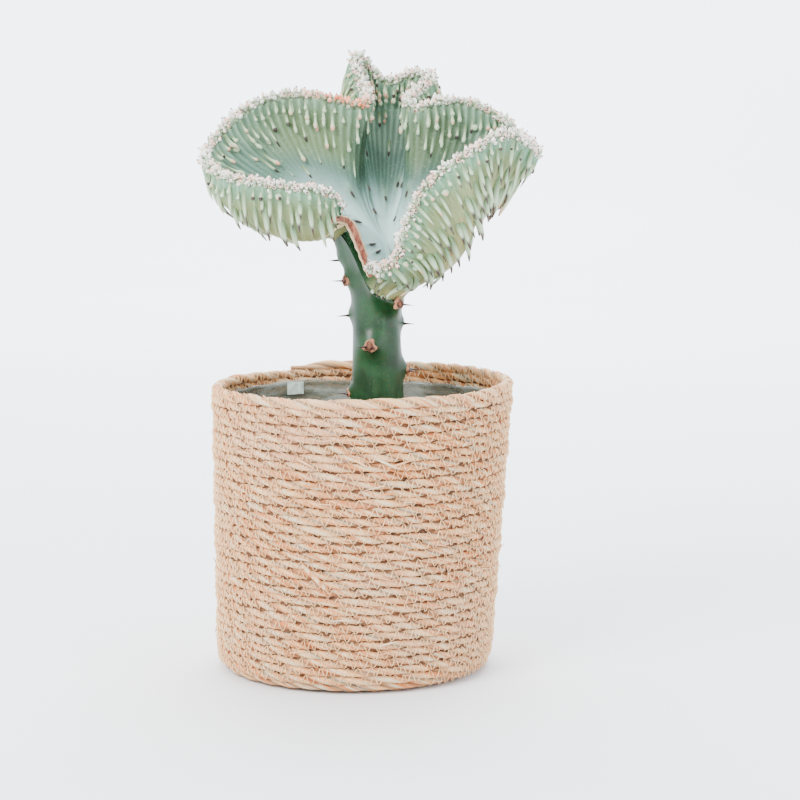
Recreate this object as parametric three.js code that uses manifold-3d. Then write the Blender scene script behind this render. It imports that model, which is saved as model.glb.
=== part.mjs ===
// Coral cactus: a fan-crested scion grafted on a spiny green stem, potted and stood in a sewn grass-rope
// basket with a clear film lining. Millimetres, +Z up, origin on the ground under the basket's centre.
import * as THREE from "three";
import { mergeVertices } from "three/addons/utils/BufferGeometryUtils.js";
import Module from "manifold-3d";

const wasm = await Module();
wasm.setup();

// ---- driving dimensions ----
const GAP = 0.3; // clearance between touching pieces
const BASKET_HEIGHT = 160;
const BASKET_RIM_RADIUS = 83.3;
const BASKET_FOOT_RADIUS = 77;
const BASKET_LEAN = 5.1; // sideways shift of the rim over the base
const BASKET_WALL = 5.2; // thickness of one rope
const BASKET_FLOOR = 5;
const COIL_COUNT = 29; // ropes stacked in the wall above the rounded foot
const FOOT_HEIGHT = 9;
const COIL_GROOVE = 1.3;
const BASKET_COLUMNS = 28;
const FILM = 0.6;
const FILM_TOP = 151;
const POT_HEIGHT = 122;
const POT_WALL = 1.5;
const POT_TOP_RADIUS = 64;
const POT_BASE_RADIUS = 50;
const POT_X = 5;
const SOIL_TOP = 118;
const STEM_X = 13.5;
const STEM_RADIUS = 14.4;
const STEM_NECK_X = 12.8;
const STEM_NECK_RADIUS = 13.1;
const STEM_NECK_Z = 190;
const STEM_FOOT_Z = 94;
const SHEET_HALF = 2.6; // half the thickness of the crest near its edge
const RIB_COUNT = 144; // ribs that reach the growing edge
const RIB_HEIGHT = 0.9;
const TOOTH_HEIGHT = 3;
const ROD_HEIGHT = 1.3;

// Growing edge of the crest, anticlockwise from the lower end of the graft scar, as
// [x, y, z of the edge, then the lean of the sheet from the edge back towards the stem].
const EDGE_KEYS = [
  [9, -24, 225, 5, 5, -4],
  [18, -31, 223, 9, 3, -9],
  [26, -38, 231, 20, 0, -10],
  [31, -44, 247, 26, -2, -16],
  [39, -50, 265, 25, -2, -26],
  [51, -54, 277, 20, -4, -32],
  [65, -52, 286, 4, -8, -31],
  [79, -44, 294, -3, -7, -26],
  [91, -31, 290, -8, -5, -22],
  [98, -13, 284, -9, -3, -18],
  [97, 7, 288, -7, 5, -21],
  [88, 20, 297, 2, 8, -24],
  [76, 25, 306, 2, 6, -26],
  [62, 25, 311, 2, 3, -28],
  [47, 20, 311, 2, 0, -26],
  [36, 16, 308, 0, 0, -24],
  [30, 23, 311, -1, 4, -22],
  [34, 36, 317, 2, 5, -22],
  [42, 48, 323, 7, 3, -22],
  [42, 60, 327, 3, 6, -25],
  [30, 63, 326, -2, 6, -28],
  [20, 60, 323, -2, 8, -28],
  [11, 61, 328, -3, 8, -28],
  [1, 58, 337, -9, 5, -24],
  [1, 47, 329, -14, 2, -16],
  [5, 36, 320, -9, 4, -15],
  [8, 24, 313, -2, 2, -20],
  [1, 12, 309, -2, 0, -24],
  [-13, 9, 313, 0, 0, -26],
  [-32, 13, 315, 2, 3, -28],
  [-50, 13, 312, 4, 8, -26],
  [-64, 9, 303, 6, 6, -22],
  [-74, -1, 292, 6, 2, -20],
  [-79, -14, 282, 4, -4, -20],
  [-72, -30, 274, 0, -8, -28],
  [-59, -43, 270, 0, -8, -38],
  [-43, -50, 268, 0, -6, -45],
  [-27, -52, 266, 1, -4, -46],
  [-14, -46, 264, 0, -2, -42],
  [-8, -35, 258, -6, -1, -22],
  [-8, -23, 252, -1, 9, 0],
  [-5, -14, 249.5, 5, 4, 0],
  [0, -14.5, 240, 5, 2, 0],
  [5, -17.5, 230.5, 5, 4, 0],
];
const EDGE_END = 39.5; // key at which the growing edge stops and the graft scar begins
const SCAR_START = 41.3;
// Shoulder of the sheet and foot of its underside on the graft, as [edge key, shoulder x y z, foot x y z].
const SHOULDER_KEYS = [
  [0, 16, -16, 222, 9, -18, 212],
  [2, 36, -18, 212, 18, -18, 206],
  [4, 62, -14, 216, 25, -12, 204],
  [7, 64, -4, 234, 28, -2, 205],
  [10, 54, 6, 254, 27, 6, 208],
  [14, 40, 3, 264, 23, 11, 212],
  [18, 28, 18, 264, 18, 13, 216],
  [22, 14, 16, 266, 12, 14, 221],
  [25, 4, 15, 268, 6, 13, 227],
  [29, -16, 0, 268, 0, 10, 231],
  [33, -30, -6, 262, -7, 4, 236],
  [36, -26, -8, 254, -10, -1, 236],
  [38, -9, -5, 260, -10, -6, 238.5],
  [40, -2, -4, 257, -8, -10, 243],
  [41, 5, -6, 249, -5, -12, 240.5],
  [42, 9, -9, 240, -2, -13, 235.5],
];
const VALLEY = new THREE.Vector3(19, -6, 236); // where the ribs meet inside the funnel
const GRAFT_CENTRE = new THREE.Vector3(10, -2, 221);
// Rows of the sheet from the graft (0) to the edge (1), with how many columns each row skips.
const SHEET_ROWS = [
  [0.12, 4],
  [0.26, 2],
  [0.42, 1],
  [0.54, 1],
  [0.66, 1],
  [0.78, 1],
  [0.9, 1],
  [1, 1],
];
// Spine shields on the stem, as [turn from the front in degrees, height].
const SHIELDS = [
  [-92, 226],
  [-52, 213],
  [-90, 195.5],
  [88, 190],
  [38, 197],
  [-12, 180],
  [86, 166],
  [-150, 206],
  [150, 186],
  [-140, 170],
  [175, 150],
  [-60, 150],
];

// ---- shared builders ----
const smooth = THREE.MathUtils.smoothstep;

function geometryOf(points, faces) {
  const geometry = new THREE.BufferGeometry().setFromPoints(points);
  geometry.setIndex(faces.flat());
  geometry.computeVertexNormals();
  return geometry;
}

// Skin over rings of equal length, closed by a point at each end.
function skin(rings, first, last) {
  const columns = rings[0].length;
  const points = [...rings.flat(), first, last];
  const faces = [];
  for (let j = 0; j < columns; j += 1) {
    const n = (j + 1) % columns;
    faces.push([points.length - 2, n, j]);
    for (let i = 0; i + 1 < rings.length; i += 1) {
      const a = i * columns;
      faces.push([a + j, a + n, a + columns + n], [a + j, a + columns + n, a + columns + j]);
    }
    const end = (rings.length - 1) * columns;
    faces.push([end + j, end + n, points.length - 1]);
  }
  return geometryOf(points, faces);
}

// Turned body from a profile of [radius, z]; centreAt gives the sideways shift at each height.
function turned(profile, columns, centreAt) {
  const ringAt = ([radius, z]) =>
    Array.from({ length: columns }, (_, j) => {
      const angle = (2 * Math.PI * j) / columns;
      return new THREE.Vector3(centreAt(z) + radius * Math.cos(angle), radius * Math.sin(angle), z);
    });
  const first = profile[0][1];
  const last = profile.at(-1)[1];
  return skin(
    profile.slice(1, -1).map(ringAt),
    new THREE.Vector3(centreAt(first), 0, first),
    new THREE.Vector3(centreAt(last), 0, last),
  );
}

function solidOf(geometry) {
  const bare = geometry.clone();
  bare.deleteAttribute("normal");
  bare.deleteAttribute("uv");
  const merged = mergeVertices(bare, 1e-4);
  const vertProperties = new Float32Array(merged.attributes.position.array);
  return new wasm.Manifold(
    new wasm.Mesh({ numProp: 3, vertProperties, triVerts: new Uint32Array(merged.index.array) }),
  );
}

function geometryFrom(solid) {
  const mesh = solid.getMesh();
  const geometry = new THREE.BufferGeometry();
  geometry.setAttribute("position", new THREE.BufferAttribute(new Float32Array(mesh.vertProperties), 3));
  geometry.setIndex(new THREE.BufferAttribute(new Uint32Array(mesh.triVerts), 1));
  geometry.computeVertexNormals();
  return geometry;
}

const part = new THREE.Group();
part.name = "potted_coral_cactus";

function addPiece(name, geometry, color, roughness) {
  const material = new THREE.MeshStandardMaterial({ color, roughness, metalness: 0 });
  const mesh = new THREE.Mesh(geometry, material);
  mesh.name = name;
  part.add(mesh);
}

// ---- basket: stacked coils of rope, leaning a little to the right ----
const lean = (z) => (BASKET_LEAN * z) / BASKET_HEIGHT;
const wallRadius = (z) =>
  THREE.MathUtils.lerp(BASKET_FOOT_RADIUS, BASKET_RIM_RADIUS, (z - FOOT_HEIGHT) / (BASKET_HEIGHT - FOOT_HEIGHT));
const innerRadius = (z) => wallRadius(z) - BASKET_WALL - 0.4;

function basketGeometry() {
  const coilPitch = (BASKET_HEIGHT - FOOT_HEIGHT) / COIL_COUNT;
  const underside = [
    [0, 0],
    [13, 0],
    [15, 0.9],
    [17, 0],
    [41, 0],
    [43, 0.9],
    [45, 0],
    [69, 0],
    [73.5, 1.6],
  ];
  const wall = [[BASKET_FOOT_RADIUS - 1, FOOT_HEIGHT / 2]];
  for (let i = 0; i < COIL_COUNT; i += 1) {
    const z = FOOT_HEIGHT + i * coilPitch;
    wall.push([wallRadius(z) - COIL_GROOVE, z]);
    wall.push([wallRadius(z + coilPitch / 2), z + coilPitch / 2]);
  }
  const rim = [
    [BASKET_RIM_RADIUS - 1.2, BASKET_HEIGHT - 0.5],
    [BASKET_RIM_RADIUS - 2.6, BASKET_HEIGHT],
    [BASKET_RIM_RADIUS - 4.6, BASKET_HEIGHT - 0.8],
  ];
  const inside = [
    [innerRadius(154.8) + 0.9, 154.8],
    [innerRadius(152.2), 152.2],
    [innerRadius(60), 60],
    [innerRadius(14), 14],
    [innerRadius(8) - 5, BASKET_FLOOR],
    [0, BASKET_FLOOR],
  ];
  return turned([...underside, ...wall, ...rim, ...inside], BASKET_COLUMNS, lean);
}

// ---- clear film lining, open at the top with a slightly uneven edge ----
function filmGeometry() {
  const outer = (z) => innerRadius(z) - GAP;
  const floor = BASKET_FLOOR + GAP;
  const profile = [
    [0, floor],
    [innerRadius(8) - 5 - GAP, floor],
    [outer(14), 14.3],
    [outer(60), 60],
    [outer(FILM_TOP), FILM_TOP],
    [outer(FILM_TOP) - FILM, FILM_TOP],
    [outer(60) - FILM, 60],
    [outer(14) - FILM, 14.3 + 0.3],
    [innerRadius(8) - 5 - GAP - 0.4, floor + FILM],
    [0, floor + FILM],
  ];
  const geometry = turned(profile, BASKET_COLUMNS, lean);
  const position = geometry.attributes.position;
  for (let i = 0; i < position.count; i += 1) {
    if (position.getZ(i) < FILM_TOP - 1) continue;
    const angle = Math.atan2(position.getY(i), position.getX(i));
    position.setZ(i, FILM_TOP + 0.8 * Math.sin(3 * angle + 1) + 0.5 * Math.sin(7 * angle));
  }
  return geometry;
}

// Small opaque patch pressed on the film at the back left.
function patchGeometry() {
  const z = 147.5;
  const facet = (2 * Math.PI * 9.5) / BASKET_COLUMNS;
  const thickness = 0.8;
  const wallSlope = (BASKET_RIM_RADIUS - BASKET_FOOT_RADIUS) / (BASKET_HEIGHT - FOOT_HEIGHT);
  const flat = (innerRadius(z) - GAP - FILM) * Math.cos(Math.PI / BASKET_COLUMNS);
  const reach = flat - GAP - 0.25 - thickness / 2;
  const geometry = new THREE.BoxGeometry(thickness, 10.4, 7);
  geometry.rotateY(-wallSlope * 0.2);
  geometry.translate(reach, 0, 0);
  geometry.rotateZ(facet);
  geometry.translate(lean(z), 0, z);
  return geometry;
}

// ---- plastic growing pot and its soil, standing on the film ----
const potFloor = BASKET_FLOOR + FILM + 2 * GAP;
const potRadius = (z) =>
  THREE.MathUtils.lerp(POT_BASE_RADIUS, POT_TOP_RADIUS, (z - potFloor) / (POT_HEIGHT - potFloor));

function potGeometry() {
  const top = POT_HEIGHT;
  const profile = [
    [0, potFloor],
    [potRadius(potFloor), potFloor],
    [potRadius(top - 8), top - 8],
    [potRadius(top - 8) + 2.5, top - 7.5],
    [potRadius(top) + 2.5, top],
    [potRadius(top) - POT_WALL, top],
    [potRadius(potFloor + 2) - POT_WALL, potFloor + 2],
    [0, potFloor + 2],
  ];
  return turned(profile, 32, () => POT_X);
}

function soilGeometry() {
  const bottom = potFloor + 2 + GAP;
  const side = (z) => potRadius(z) - POT_WALL - GAP;
  const holeRadius = STEM_RADIUS + 2 * GAP;
  const rings = [
    [side(bottom) - 0.3, bottom, POT_X],
    [side(SOIL_TOP - 2) - 0.1, SOIL_TOP - 2, POT_X],
    [44, SOIL_TOP + 0.6, POT_X + 2],
    [26, SOIL_TOP + 1.4, STEM_X],
    [holeRadius, SOIL_TOP + 0.4, STEM_X],
    [holeRadius, STEM_FOOT_Z - GAP, STEM_X],
  ].map(([radius, z, x]) =>
    Array.from({ length: 32 }, (_, j) => {
      const angle = (2 * Math.PI * j) / 32;
      const bump = z > SOIL_TOP + 0.5 ? 0.5 * Math.sin(j * 2.4) : 0;
      return new THREE.Vector3(x + radius * Math.cos(angle), radius * Math.sin(angle), z + bump);
    }),
  );
  const low = new THREE.Vector3(POT_X, 0, bottom);
  const holeEnd = new THREE.Vector3(STEM_X, 0, STEM_FOOT_Z - GAP);
  return skin(rings, low, holeEnd);
}

// ---- crest: one thick ribbed sheet that opens from the graft into three cups ----
const COLUMNS = 2 * RIB_COUNT;
const edgeCurve = new THREE.CatmullRomCurve3(
  EDGE_KEYS.map((k) => new THREE.Vector3(k[0], k[1], k[2])),
  true,
  "catmullrom",
  0.5,
);
const leanCurve = new THREE.CatmullRomCurve3(
  EDGE_KEYS.map((k) => new THREE.Vector3(k[3], k[4], k[5])),
  true,
  "catmullrom",
  0.5,
);
edgeCurve.arcLengthDivisions = 1760;

// Shoulder and foot at an edge key, by cubic steps between the listed keys.
function shoulderAt(key) {
  const count = SHOULDER_KEYS.length;
  const entry = (i) => {
    const turn = Math.floor(i / count);
    const row = SHOULDER_KEYS[i - turn * count];
    return { key: row[0] + turn * EDGE_KEYS.length, values: row.slice(1) };
  };
  let i = count - 1;
  while (i > 0 && SHOULDER_KEYS[i][0] > key) i -= 1;
  const [before, from, to, after] = [entry(i - 1), entry(i), entry(i + 1), entry(i + 2)];
  const span = to.key - from.key;
  const w = (key - from.key) / span;
  const values = from.values.map((value, n) => {
    const slopeFrom = (to.values[n] - before.values[n]) / (to.key - before.key);
    const slopeTo = (after.values[n] - value) / (after.key - from.key);
    const start = (2 * w ** 3 - 3 * w ** 2 + 1) * value + (w ** 3 - 2 * w ** 2 + w) * span * slopeFrom;
    return start + (3 * w ** 2 - 2 * w ** 3) * to.values[n] + (w ** 3 - w ** 2) * span * slopeTo;
  });
  return [new THREE.Vector3(...values.slice(0, 3)), new THREE.Vector3(...values.slice(3))];
}

const columns = Array.from({ length: COLUMNS }, (_, k) => {
  const t = edgeCurve.getUtoTmapping(k / COLUMNS);
  const key = t * EDGE_KEYS.length;
  const edge = edgeCurve.getPoint(t);
  const [shoulder, foot] = shoulderAt(key);
  const root = VALLEY.clone().add(foot).multiplyScalar(0.5);
  const back = edge.clone().add(leanCurve.getPoint(t));
  const section = new THREE.CubicBezierCurve3(root, shoulder, back, edge);
  // relief dies out beside the scar, and teeth also where the sheet folds tightly outwards
  const scar = smooth(key, 0.3, 1.4) * (1 - smooth(key, 38.6, 39.8));
  // row at which the sheet has its own thickness
  const settle = 0.36 + 0.44 * smooth(key, 40.4, 41.2) * (1 - smooth(key, 43.4, 44));
  return { key, section, foot, scar, settle };
});

// Turn of the edge at each column, positive where the outer face is hollow.
const foldAt = columns.map((column, k) => {
  const before = columns[(k + COLUMNS - 6) % COLUMNS].section.v3;
  const after = columns[(k + 6) % COLUMNS].section.v3;
  const incoming = column.section.v3.clone().sub(before);
  const outgoing = after.clone().sub(column.section.v3);
  const turn = (incoming.y * outgoing.x - incoming.x * outgoing.y) / (incoming.length() * outgoing.length());
  return smooth(turn, 0.1, 0.5);
});

// Rib relief: few broad ribs near the graft, doubled twice on the way to the edge.
function ribHeight(k, v) {
  const broad = smooth(v, 0.05, 0.12) * (1 - smooth(v, 0.16, 0.26));
  const middle = smooth(v, 0.16, 0.26) * (1 - smooth(v, 0.34, 0.42));
  const fine = smooth(v, 0.34, 0.42);
  const wave = broad * Math.cos((Math.PI * k) / 4) + middle * Math.cos((Math.PI * k) / 2);
  return RIB_HEIGHT * (wave + fine * Math.cos(Math.PI * k)) * columns[k].scar;
}

function toothHeight(k, row) {
  const skip = 2 * SHEET_ROWS[row][1];
  if (k % skip !== 0 || row < 1 || row > SHEET_ROWS.length - 2) return 0;
  const staggered = (row + k / skip) % 2 === 0;
  return staggered ? TOOTH_HEIGHT * columns[k].scar * (1 - foldAt[k]) : 0;
}

// Middle of the sheet at one row, eased along the row so that the folds stay round lower down.
function middleRow(v) {
  let row = columns.map((column) => column.section.getPoint(v));
  const passes = Math.round(40 * (1 - v));
  for (let pass = 0; pass < passes; pass += 1) {
    const before = row;
    row = before.map((p, k) => {
      const last = before[(k + COLUMNS - 1) % COLUMNS];
      const next = before[(k + 1) % COLUMNS];
      return last.clone().add(next).multiplyScalar(0.25).addScaledVector(p, 0.5);
    });
  }
  return row;
}

const middleRows = new Map(SHEET_ROWS.map(([v]) => [v, [middleRow(v - 0.02), middleRow(v)]]));

function sheetPoint(k, v, side, extra) {
  const { foot, settle } = columns[k];
  const [lower, row] = middleRows.get(v);
  const middle = row[k].clone();
  const along = middle.clone().sub(lower[k]).normalize();
  const across = row[(k + 2) % COLUMNS].clone().sub(row[(k + COLUMNS - 2) % COLUMNS]);
  const normal = along.clone().cross(across).normalize();
  const w = smooth(v, 0, settle);
  const relief = extra * smooth(v, 0, 0.2) * smooth(across.length(), 1.2, 8.8);
  const face = middle.addScaledVector(normal, side * (SHEET_HALF + relief));
  return { point: (side > 0 ? VALLEY : foot).clone().lerp(face, w), along, normal };
}

// Eases a row where the sheet folds so tightly that neighbouring columns would pass each other.
function unfolded(row, middle) {
  const count = row.length;
  for (let pass = 0; pass < 100; pass += 1) {
    const crossed = row.map((p, i) => {
      const n = (i + 1) % count;
      const step = middle[n].clone().sub(middle[i]);
      return row[n].clone().sub(p).dot(step) < 0.5 * step.lengthSq();
    });
    if (!crossed.includes(true)) break;
    const before = row.map((p) => p.clone());
    row.forEach((p, i) => {
      const last = (i + count - 1) % count;
      const next = (i + 1) % count;
      if (!crossed[i] && !crossed[last]) return;
      p.copy(before[last]).add(before[next]).multiplyScalar(0.25).addScaledVector(before[i], 0.5);
    });
  }
  return row;
}

function crestGeometry() {
  const points = [];
  const faces = [];
  const addRow = (v, skip, side, extraAt) => {
    const start = points.length;
    const kept = columns.map((_, k) => k).filter((k) => k % skip === 0);
    const row = kept.map((k) => sheetPoint(k, v, side, extraAt(k)).point);
    const middle = kept.map((k) => middleRows.get(v)[1][k]);
    points.push(...unfolded(row, middle));
    return { start, skip, count: kept.length };
  };
  const put = (flip, a, b, c) => faces.push(flip ? [a, c, b] : [a, b, c]);
  // Joins two rows with the same columns, or with the upper row split twice as fine.
  const join = (low, high, flip) => {
    for (let i = 0; i < low.count; i += 1) {
      const a = low.start + i;
      const b = low.start + ((i + 1) % low.count);
      const ratio = low.skip / high.skip;
      const c = high.start + ratio * i;
      const d = high.start + ((ratio * (i + 1)) % high.count);
      if (ratio === 1) {
        put(flip, a, b, d);
        put(flip, a, d, c);
      } else {
        put(flip, a, b, c + 1);
        put(flip, a, c + 1, c);
        put(flip, b, d, c + 1);
      }
    }
  };
  // underside and outer face, starting from the ring on the graft
  const footRow = { start: 0, skip: 8, count: COLUMNS / 8 };
  for (let k = 0; k < COLUMNS; k += 8) points.push(columns[k].foot.clone());
  let low = footRow;
  let outerEdge = footRow;
  SHEET_ROWS.forEach(([v, skip], row) => {
    outerEdge = addRow(v, skip, -1, (k) => ribHeight(k, v) + toothHeight(k, row));
    join(low, outerEdge, false);
    low = outerEdge;
  });
  // inner face, starting from the lowest point of the valley
  const valley = points.push(VALLEY.clone()) - 1;
  let innerLow = null;
  SHEET_ROWS.forEach(([v, skip], row) => {
    const rod = (k) => (k % 4 === 0 && row === SHEET_ROWS.length - 3 ? ROD_HEIGHT * columns[k].scar : 0);
    const inner = addRow(v, skip, 1, (k) => ribHeight(k, v) + rod(k));
    if (innerLow) {
      join(innerLow, inner, true);
    } else {
      for (let i = 0; i < inner.count; i += 1) {
        faces.push([valley, inner.start + i, inner.start + ((i + 1) % inner.count)]);
      }
    }
    innerLow = inner;
  });
  // end face of the sheet and the cut face on the graft
  join(outerEdge, innerLow, false);
  const cut = points.push(GRAFT_CENTRE.clone()) - 1;
  for (let i = 0; i < footRow.count; i += 1) faces.push([cut, (i + 1) % footRow.count, i]);
  return geometryOf(points, faces);
}

// Band on the end face of the sheet between two edge keys; profile is [across, out] at a column.
function bandGeometry(fromKey, toKey, profileAt) {
  const rings = [];
  columns.forEach(({ key, section }, k) => {
    if (key < fromKey || key > toKey) return;
    const { along, normal } = sheetPoint(k, 1, 1, 0);
    const ends = profileAt(k);
    rings.push(ends.map(([x, y]) => section.v3.clone().addScaledVector(normal, x).addScaledVector(along, y)));
  });
  const centre = (ring) => ring.reduce((sum, p) => sum.add(p), new THREE.Vector3()).divideScalar(ring.length);
  return skin(rings, centre(rings[0]), centre(rings.at(-1)));
}

function growingEdgeProfile(k) {
  const rib = RIB_HEIGHT * columns[k].scar * (k % 2 === 0 ? 1 : -1);
  const bead = k % 2 === 0 ? 0.8 : -0.3;
  const seat = SHEET_HALF + rib - 0.5;
  return [
    [-seat, GAP],
    [-seat - 0.7, 2 + bead],
    [0, 4 + bead],
    [seat + 0.7, 2 + bead],
    [seat, GAP],
  ].reverse();
}

function scarProfile() {
  return [
    [-3, GAP],
    [-2.8, 1.4],
    [0, 2.2],
    [2.6, 1.4],
    [2.4, GAP],
  ].reverse();
}

// ---- rootstock: green stem whose cut top carries the crest, with spine shields ----
function stemGeometry() {
  const feet = columns.filter((_, k) => k % 8 === 0).map((column) => column.foot);
  const angles = feet.map((p) => Math.atan2(p.y - GRAFT_CENTRE.y, p.x - GRAFT_CENTRE.x));
  const circle = (x, radius, z) =>
    angles.map((a) => new THREE.Vector3(x + radius * Math.cos(a), radius * Math.sin(a), z));
  const rings = [
    circle(STEM_X, STEM_RADIUS - 0.4, STEM_FOOT_Z),
    circle(STEM_X, STEM_RADIUS, 150),
    circle(STEM_NECK_X, STEM_NECK_RADIUS, STEM_NECK_Z),
  ];
  const drop = 0.8;
  for (const f of [0.3, 0.55, 0.8, 1]) {
    rings.push(
      feet.map((p, i) => {
        const w = f ** 2.2;
        const from = rings[2][i];
        return new THREE.Vector3(
          THREE.MathUtils.lerp(from.x, p.x, w),
          THREE.MathUtils.lerp(from.y, p.y, w),
          THREE.MathUtils.lerp(from.z, p.z - drop, f),
        );
      }),
    );
  }
  const top = GRAFT_CENTRE.clone();
  top.z -= drop;
  return skin(rings, new THREE.Vector3(STEM_X, 0, STEM_FOOT_Z), top);
}

// One shield with its spine, standing out along +X from the origin.
function shieldSolid(size) {
  const pad = new THREE.SphereGeometry(1, 7, 4);
  pad.scale(2.6 * size, 3 * size, 3.6 * size);
  const spine = new THREE.CylinderGeometry(0.3, 0.8, 6, 5);
  spine.rotateZ(-Math.PI / 2);
  spine.translate(4.6 * size, 0.3, 0.4);
  return solidOf(pad).add(solidOf(spine));
}

// Cuts a body back to a small clearance all round another and keeps its main piece.
function cutClear(body, other) {
  const steps = [
    [0, 0, -1],
    [0, 0, 1],
    [1, 0, 0],
    [-1, 0, 0],
    [0, 1, 0],
    [0, -1, 0],
  ];
  const cleared = steps.reduce((rest, step) => rest.subtract(other.translate(step.map((x) => x * GAP))), body);
  return cleared.decompose().sort((a, b) => b.volume() - a.volume())[0];
}

function rootstockGeometry() {
  let body = cutClear(solidOf(stemGeometry()), crestSolid);
  SHIELDS.forEach(([turn, z], i) => {
    const angle = THREE.MathUtils.degToRad(turn - 90);
    const lift = Math.max(0, z - STEM_NECK_Z) / 50;
    const reach = z > STEM_NECK_Z ? STEM_NECK_RADIUS - 0.6 : STEM_RADIUS - 0.7;
    const pull = turn < 0 ? lift : -lift;
    const x = (z > STEM_NECK_Z ? STEM_NECK_X : STEM_X) - 5 * Math.abs(pull) * (turn < 0 ? 1 : 0);
    const turnAround = new THREE.Matrix4().makeRotationZ(angle);
    turnAround.setPosition(x + reach * Math.cos(angle), reach * Math.sin(angle), z);
    const size = 0.9 + 0.1 * Math.sin(i * 2.3);
    body = body.add(shieldSolid(size).transform(turnAround.toArray()));
  });
  return geometryFrom(body);
}

const crest = crestGeometry();
const crestSolid = solidOf(crest);
const scar = cutClear(solidOf(bandGeometry(SCAR_START, EDGE_KEYS.length - 0.3, scarProfile)), crestSolid);

addPiece("basket", basketGeometry(), 0xc79d78, 0.85);
addPiece("film_lining", filmGeometry(), 0xd6e0e2, 0.25);
addPiece("film_patch", patchGeometry(), 0xcfe0d8, 0.5);
addPiece("growing_pot", potGeometry(), 0x3a3531, 0.55);
addPiece("soil", soilGeometry(), 0x3f3026, 0.95);
addPiece("rootstock", rootstockGeometry(), 0x3f7a4b, 0.5);
addPiece("graft_scar", geometryFrom(scar), 0xb07a62, 0.8);
addPiece("crest", crest, 0x9dbfae, 0.6);
addPiece("growing_edge", bandGeometry(0.15, EDGE_END, growingEdgeProfile), 0xe9d3cb, 0.6);

export default part;
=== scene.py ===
import math

import bpy
import numpy as np
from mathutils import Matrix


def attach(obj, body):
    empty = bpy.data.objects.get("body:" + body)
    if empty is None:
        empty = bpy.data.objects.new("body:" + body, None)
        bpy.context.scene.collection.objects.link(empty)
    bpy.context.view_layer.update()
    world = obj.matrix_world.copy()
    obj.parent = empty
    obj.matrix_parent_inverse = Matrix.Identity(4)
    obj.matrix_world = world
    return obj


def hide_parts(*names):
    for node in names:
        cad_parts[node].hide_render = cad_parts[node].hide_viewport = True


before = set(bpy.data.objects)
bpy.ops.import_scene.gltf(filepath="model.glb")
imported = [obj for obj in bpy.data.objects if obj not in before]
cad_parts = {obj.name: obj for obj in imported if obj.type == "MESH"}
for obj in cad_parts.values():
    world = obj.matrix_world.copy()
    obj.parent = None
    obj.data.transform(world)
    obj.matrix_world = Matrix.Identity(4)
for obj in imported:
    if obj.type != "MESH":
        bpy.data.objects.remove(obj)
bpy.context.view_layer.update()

# Basket
# One long rope of dried grass, two plies twisted together, coiled from the middle of the bottom up
# to the rim and sewn coil to coil with a pale zigzag thread. Dry, matt, streaky and a little uneven.
MM = 0.001
BASKET_HEIGHT = 160
BASKET_LEAN = 5.1  # how far the rim stands to the right of the bottom
FOOT_HEIGHT = 9  # where the wall begins
FOOT_RADIUS = 77
FLARE = 6.3  # what the radius gains from there to the rim
BASE_COILS = 15
WALL_COILS = 32
ALL_COILS = BASE_COILS + WALL_COILS
PITCH = 4.813  # height of one coil of the wall
FLAT_PITCH = 4.83  # step of the flat spiral under it
SPIRAL_START = 2.8  # radius at which the rope begins
CORNER_RADIUS = 73.6  # of the one coil between the flat spiral and the wall
FLAT_Z = 2.65  # height of the rope's middle in the flat spiral, on the corner and in the first wall coil
CORNER_Z = 6.2
WALL_Z = 11.0
END_SINK = 1.0  # how far the last coil is pressed down
ROPE_END = math.radians(122)  # where the rope runs out on the rim
PLY_OFFSET = 0.76  # from the middle of the rope to the middle of a ply
PLY_RADIUS = 1.86
ROPE_REACH = 2.6  # from the middle of the rope to its outside
TWIST_LENGTH = 31  # a ply goes once round the rope in this length
random = np.random.default_rng(7)


def wall_radius(height):
    """Outer radius of the basket: grows evenly with height from the foot to the rim."""
    return FOOT_RADIUS + FLARE * (height - FOOT_HEIGHT) / (BASKET_HEIGHT - FOOT_HEIGHT)


def basket_shift(height):
    """Sideways lean of the basket, in proportion to height."""
    return BASKET_LEAN * height / BASKET_HEIGHT


def circle(x, radius, height, angle):
    """Point at an angle round a middle on the x axis: the middle plus the radius times cosine and sine."""
    return np.stack([x + radius * np.cos(angle), radius * np.sin(angle), height + 0 * angle], -1)


def unit(vectors):
    """Each vector divided by its own length."""
    return vectors / (np.linalg.norm(vectors, axis=-1, keepdims=True) + 1e-9)


def skin_faces(rows, columns):
    """Faces over rings of points: each ring is joined to the next, and the first and last ring are closed
    to the two points that follow them all."""
    side = np.arange(columns)
    after = (side + 1) % columns
    row = np.arange(rows - 1)[:, None] * columns
    corners = [row + side, row + after, row + columns + after, row + columns + side]
    size = rows * columns
    last = size - columns
    low = np.stack([np.full(columns, size), after, side], -1)
    high = np.stack([last + side, last + after, np.full(columns, size + 1)], -1)
    return np.stack(corners, -1).reshape(-1, 4), np.vstack([low, high])


def tubes(paths, radii, upright, sides, turn=0.0):
    """Tubes round rows of path points: a point is the path point plus the radius times the cosine and
    sine of its angle along two directions square to the path, the first one upright."""
    count, steps = paths.shape[:2]
    forward = unit(np.gradient(paths, axis=1))
    second = unit(np.cross(forward, upright))
    first = np.cross(second, forward)
    angle = np.arange(sides) * 2 * np.pi / sides + np.broadcast_to(turn, (count, steps))[..., None]
    reach = radii if np.ndim(radii) == 3 else np.broadcast_to(radii, (count, steps))[..., None]
    rings = paths[:, :, None] + (reach * np.cos(angle))[..., None] * first[:, :, None]
    rings = rings + (reach * np.sin(angle))[..., None] * second[:, :, None]
    points = np.concatenate([rings.reshape(count, -1, 3), paths[:, :1], paths[:, -1:]], axis=1)
    quads, triangles = skin_faces(steps, sides)
    shift = np.arange(count)[:, None, None] * points.shape[1]
    return points.reshape(-1, 3), (quads + shift).reshape(-1, 4), (triangles + shift).reshape(-1, 3)


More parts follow.
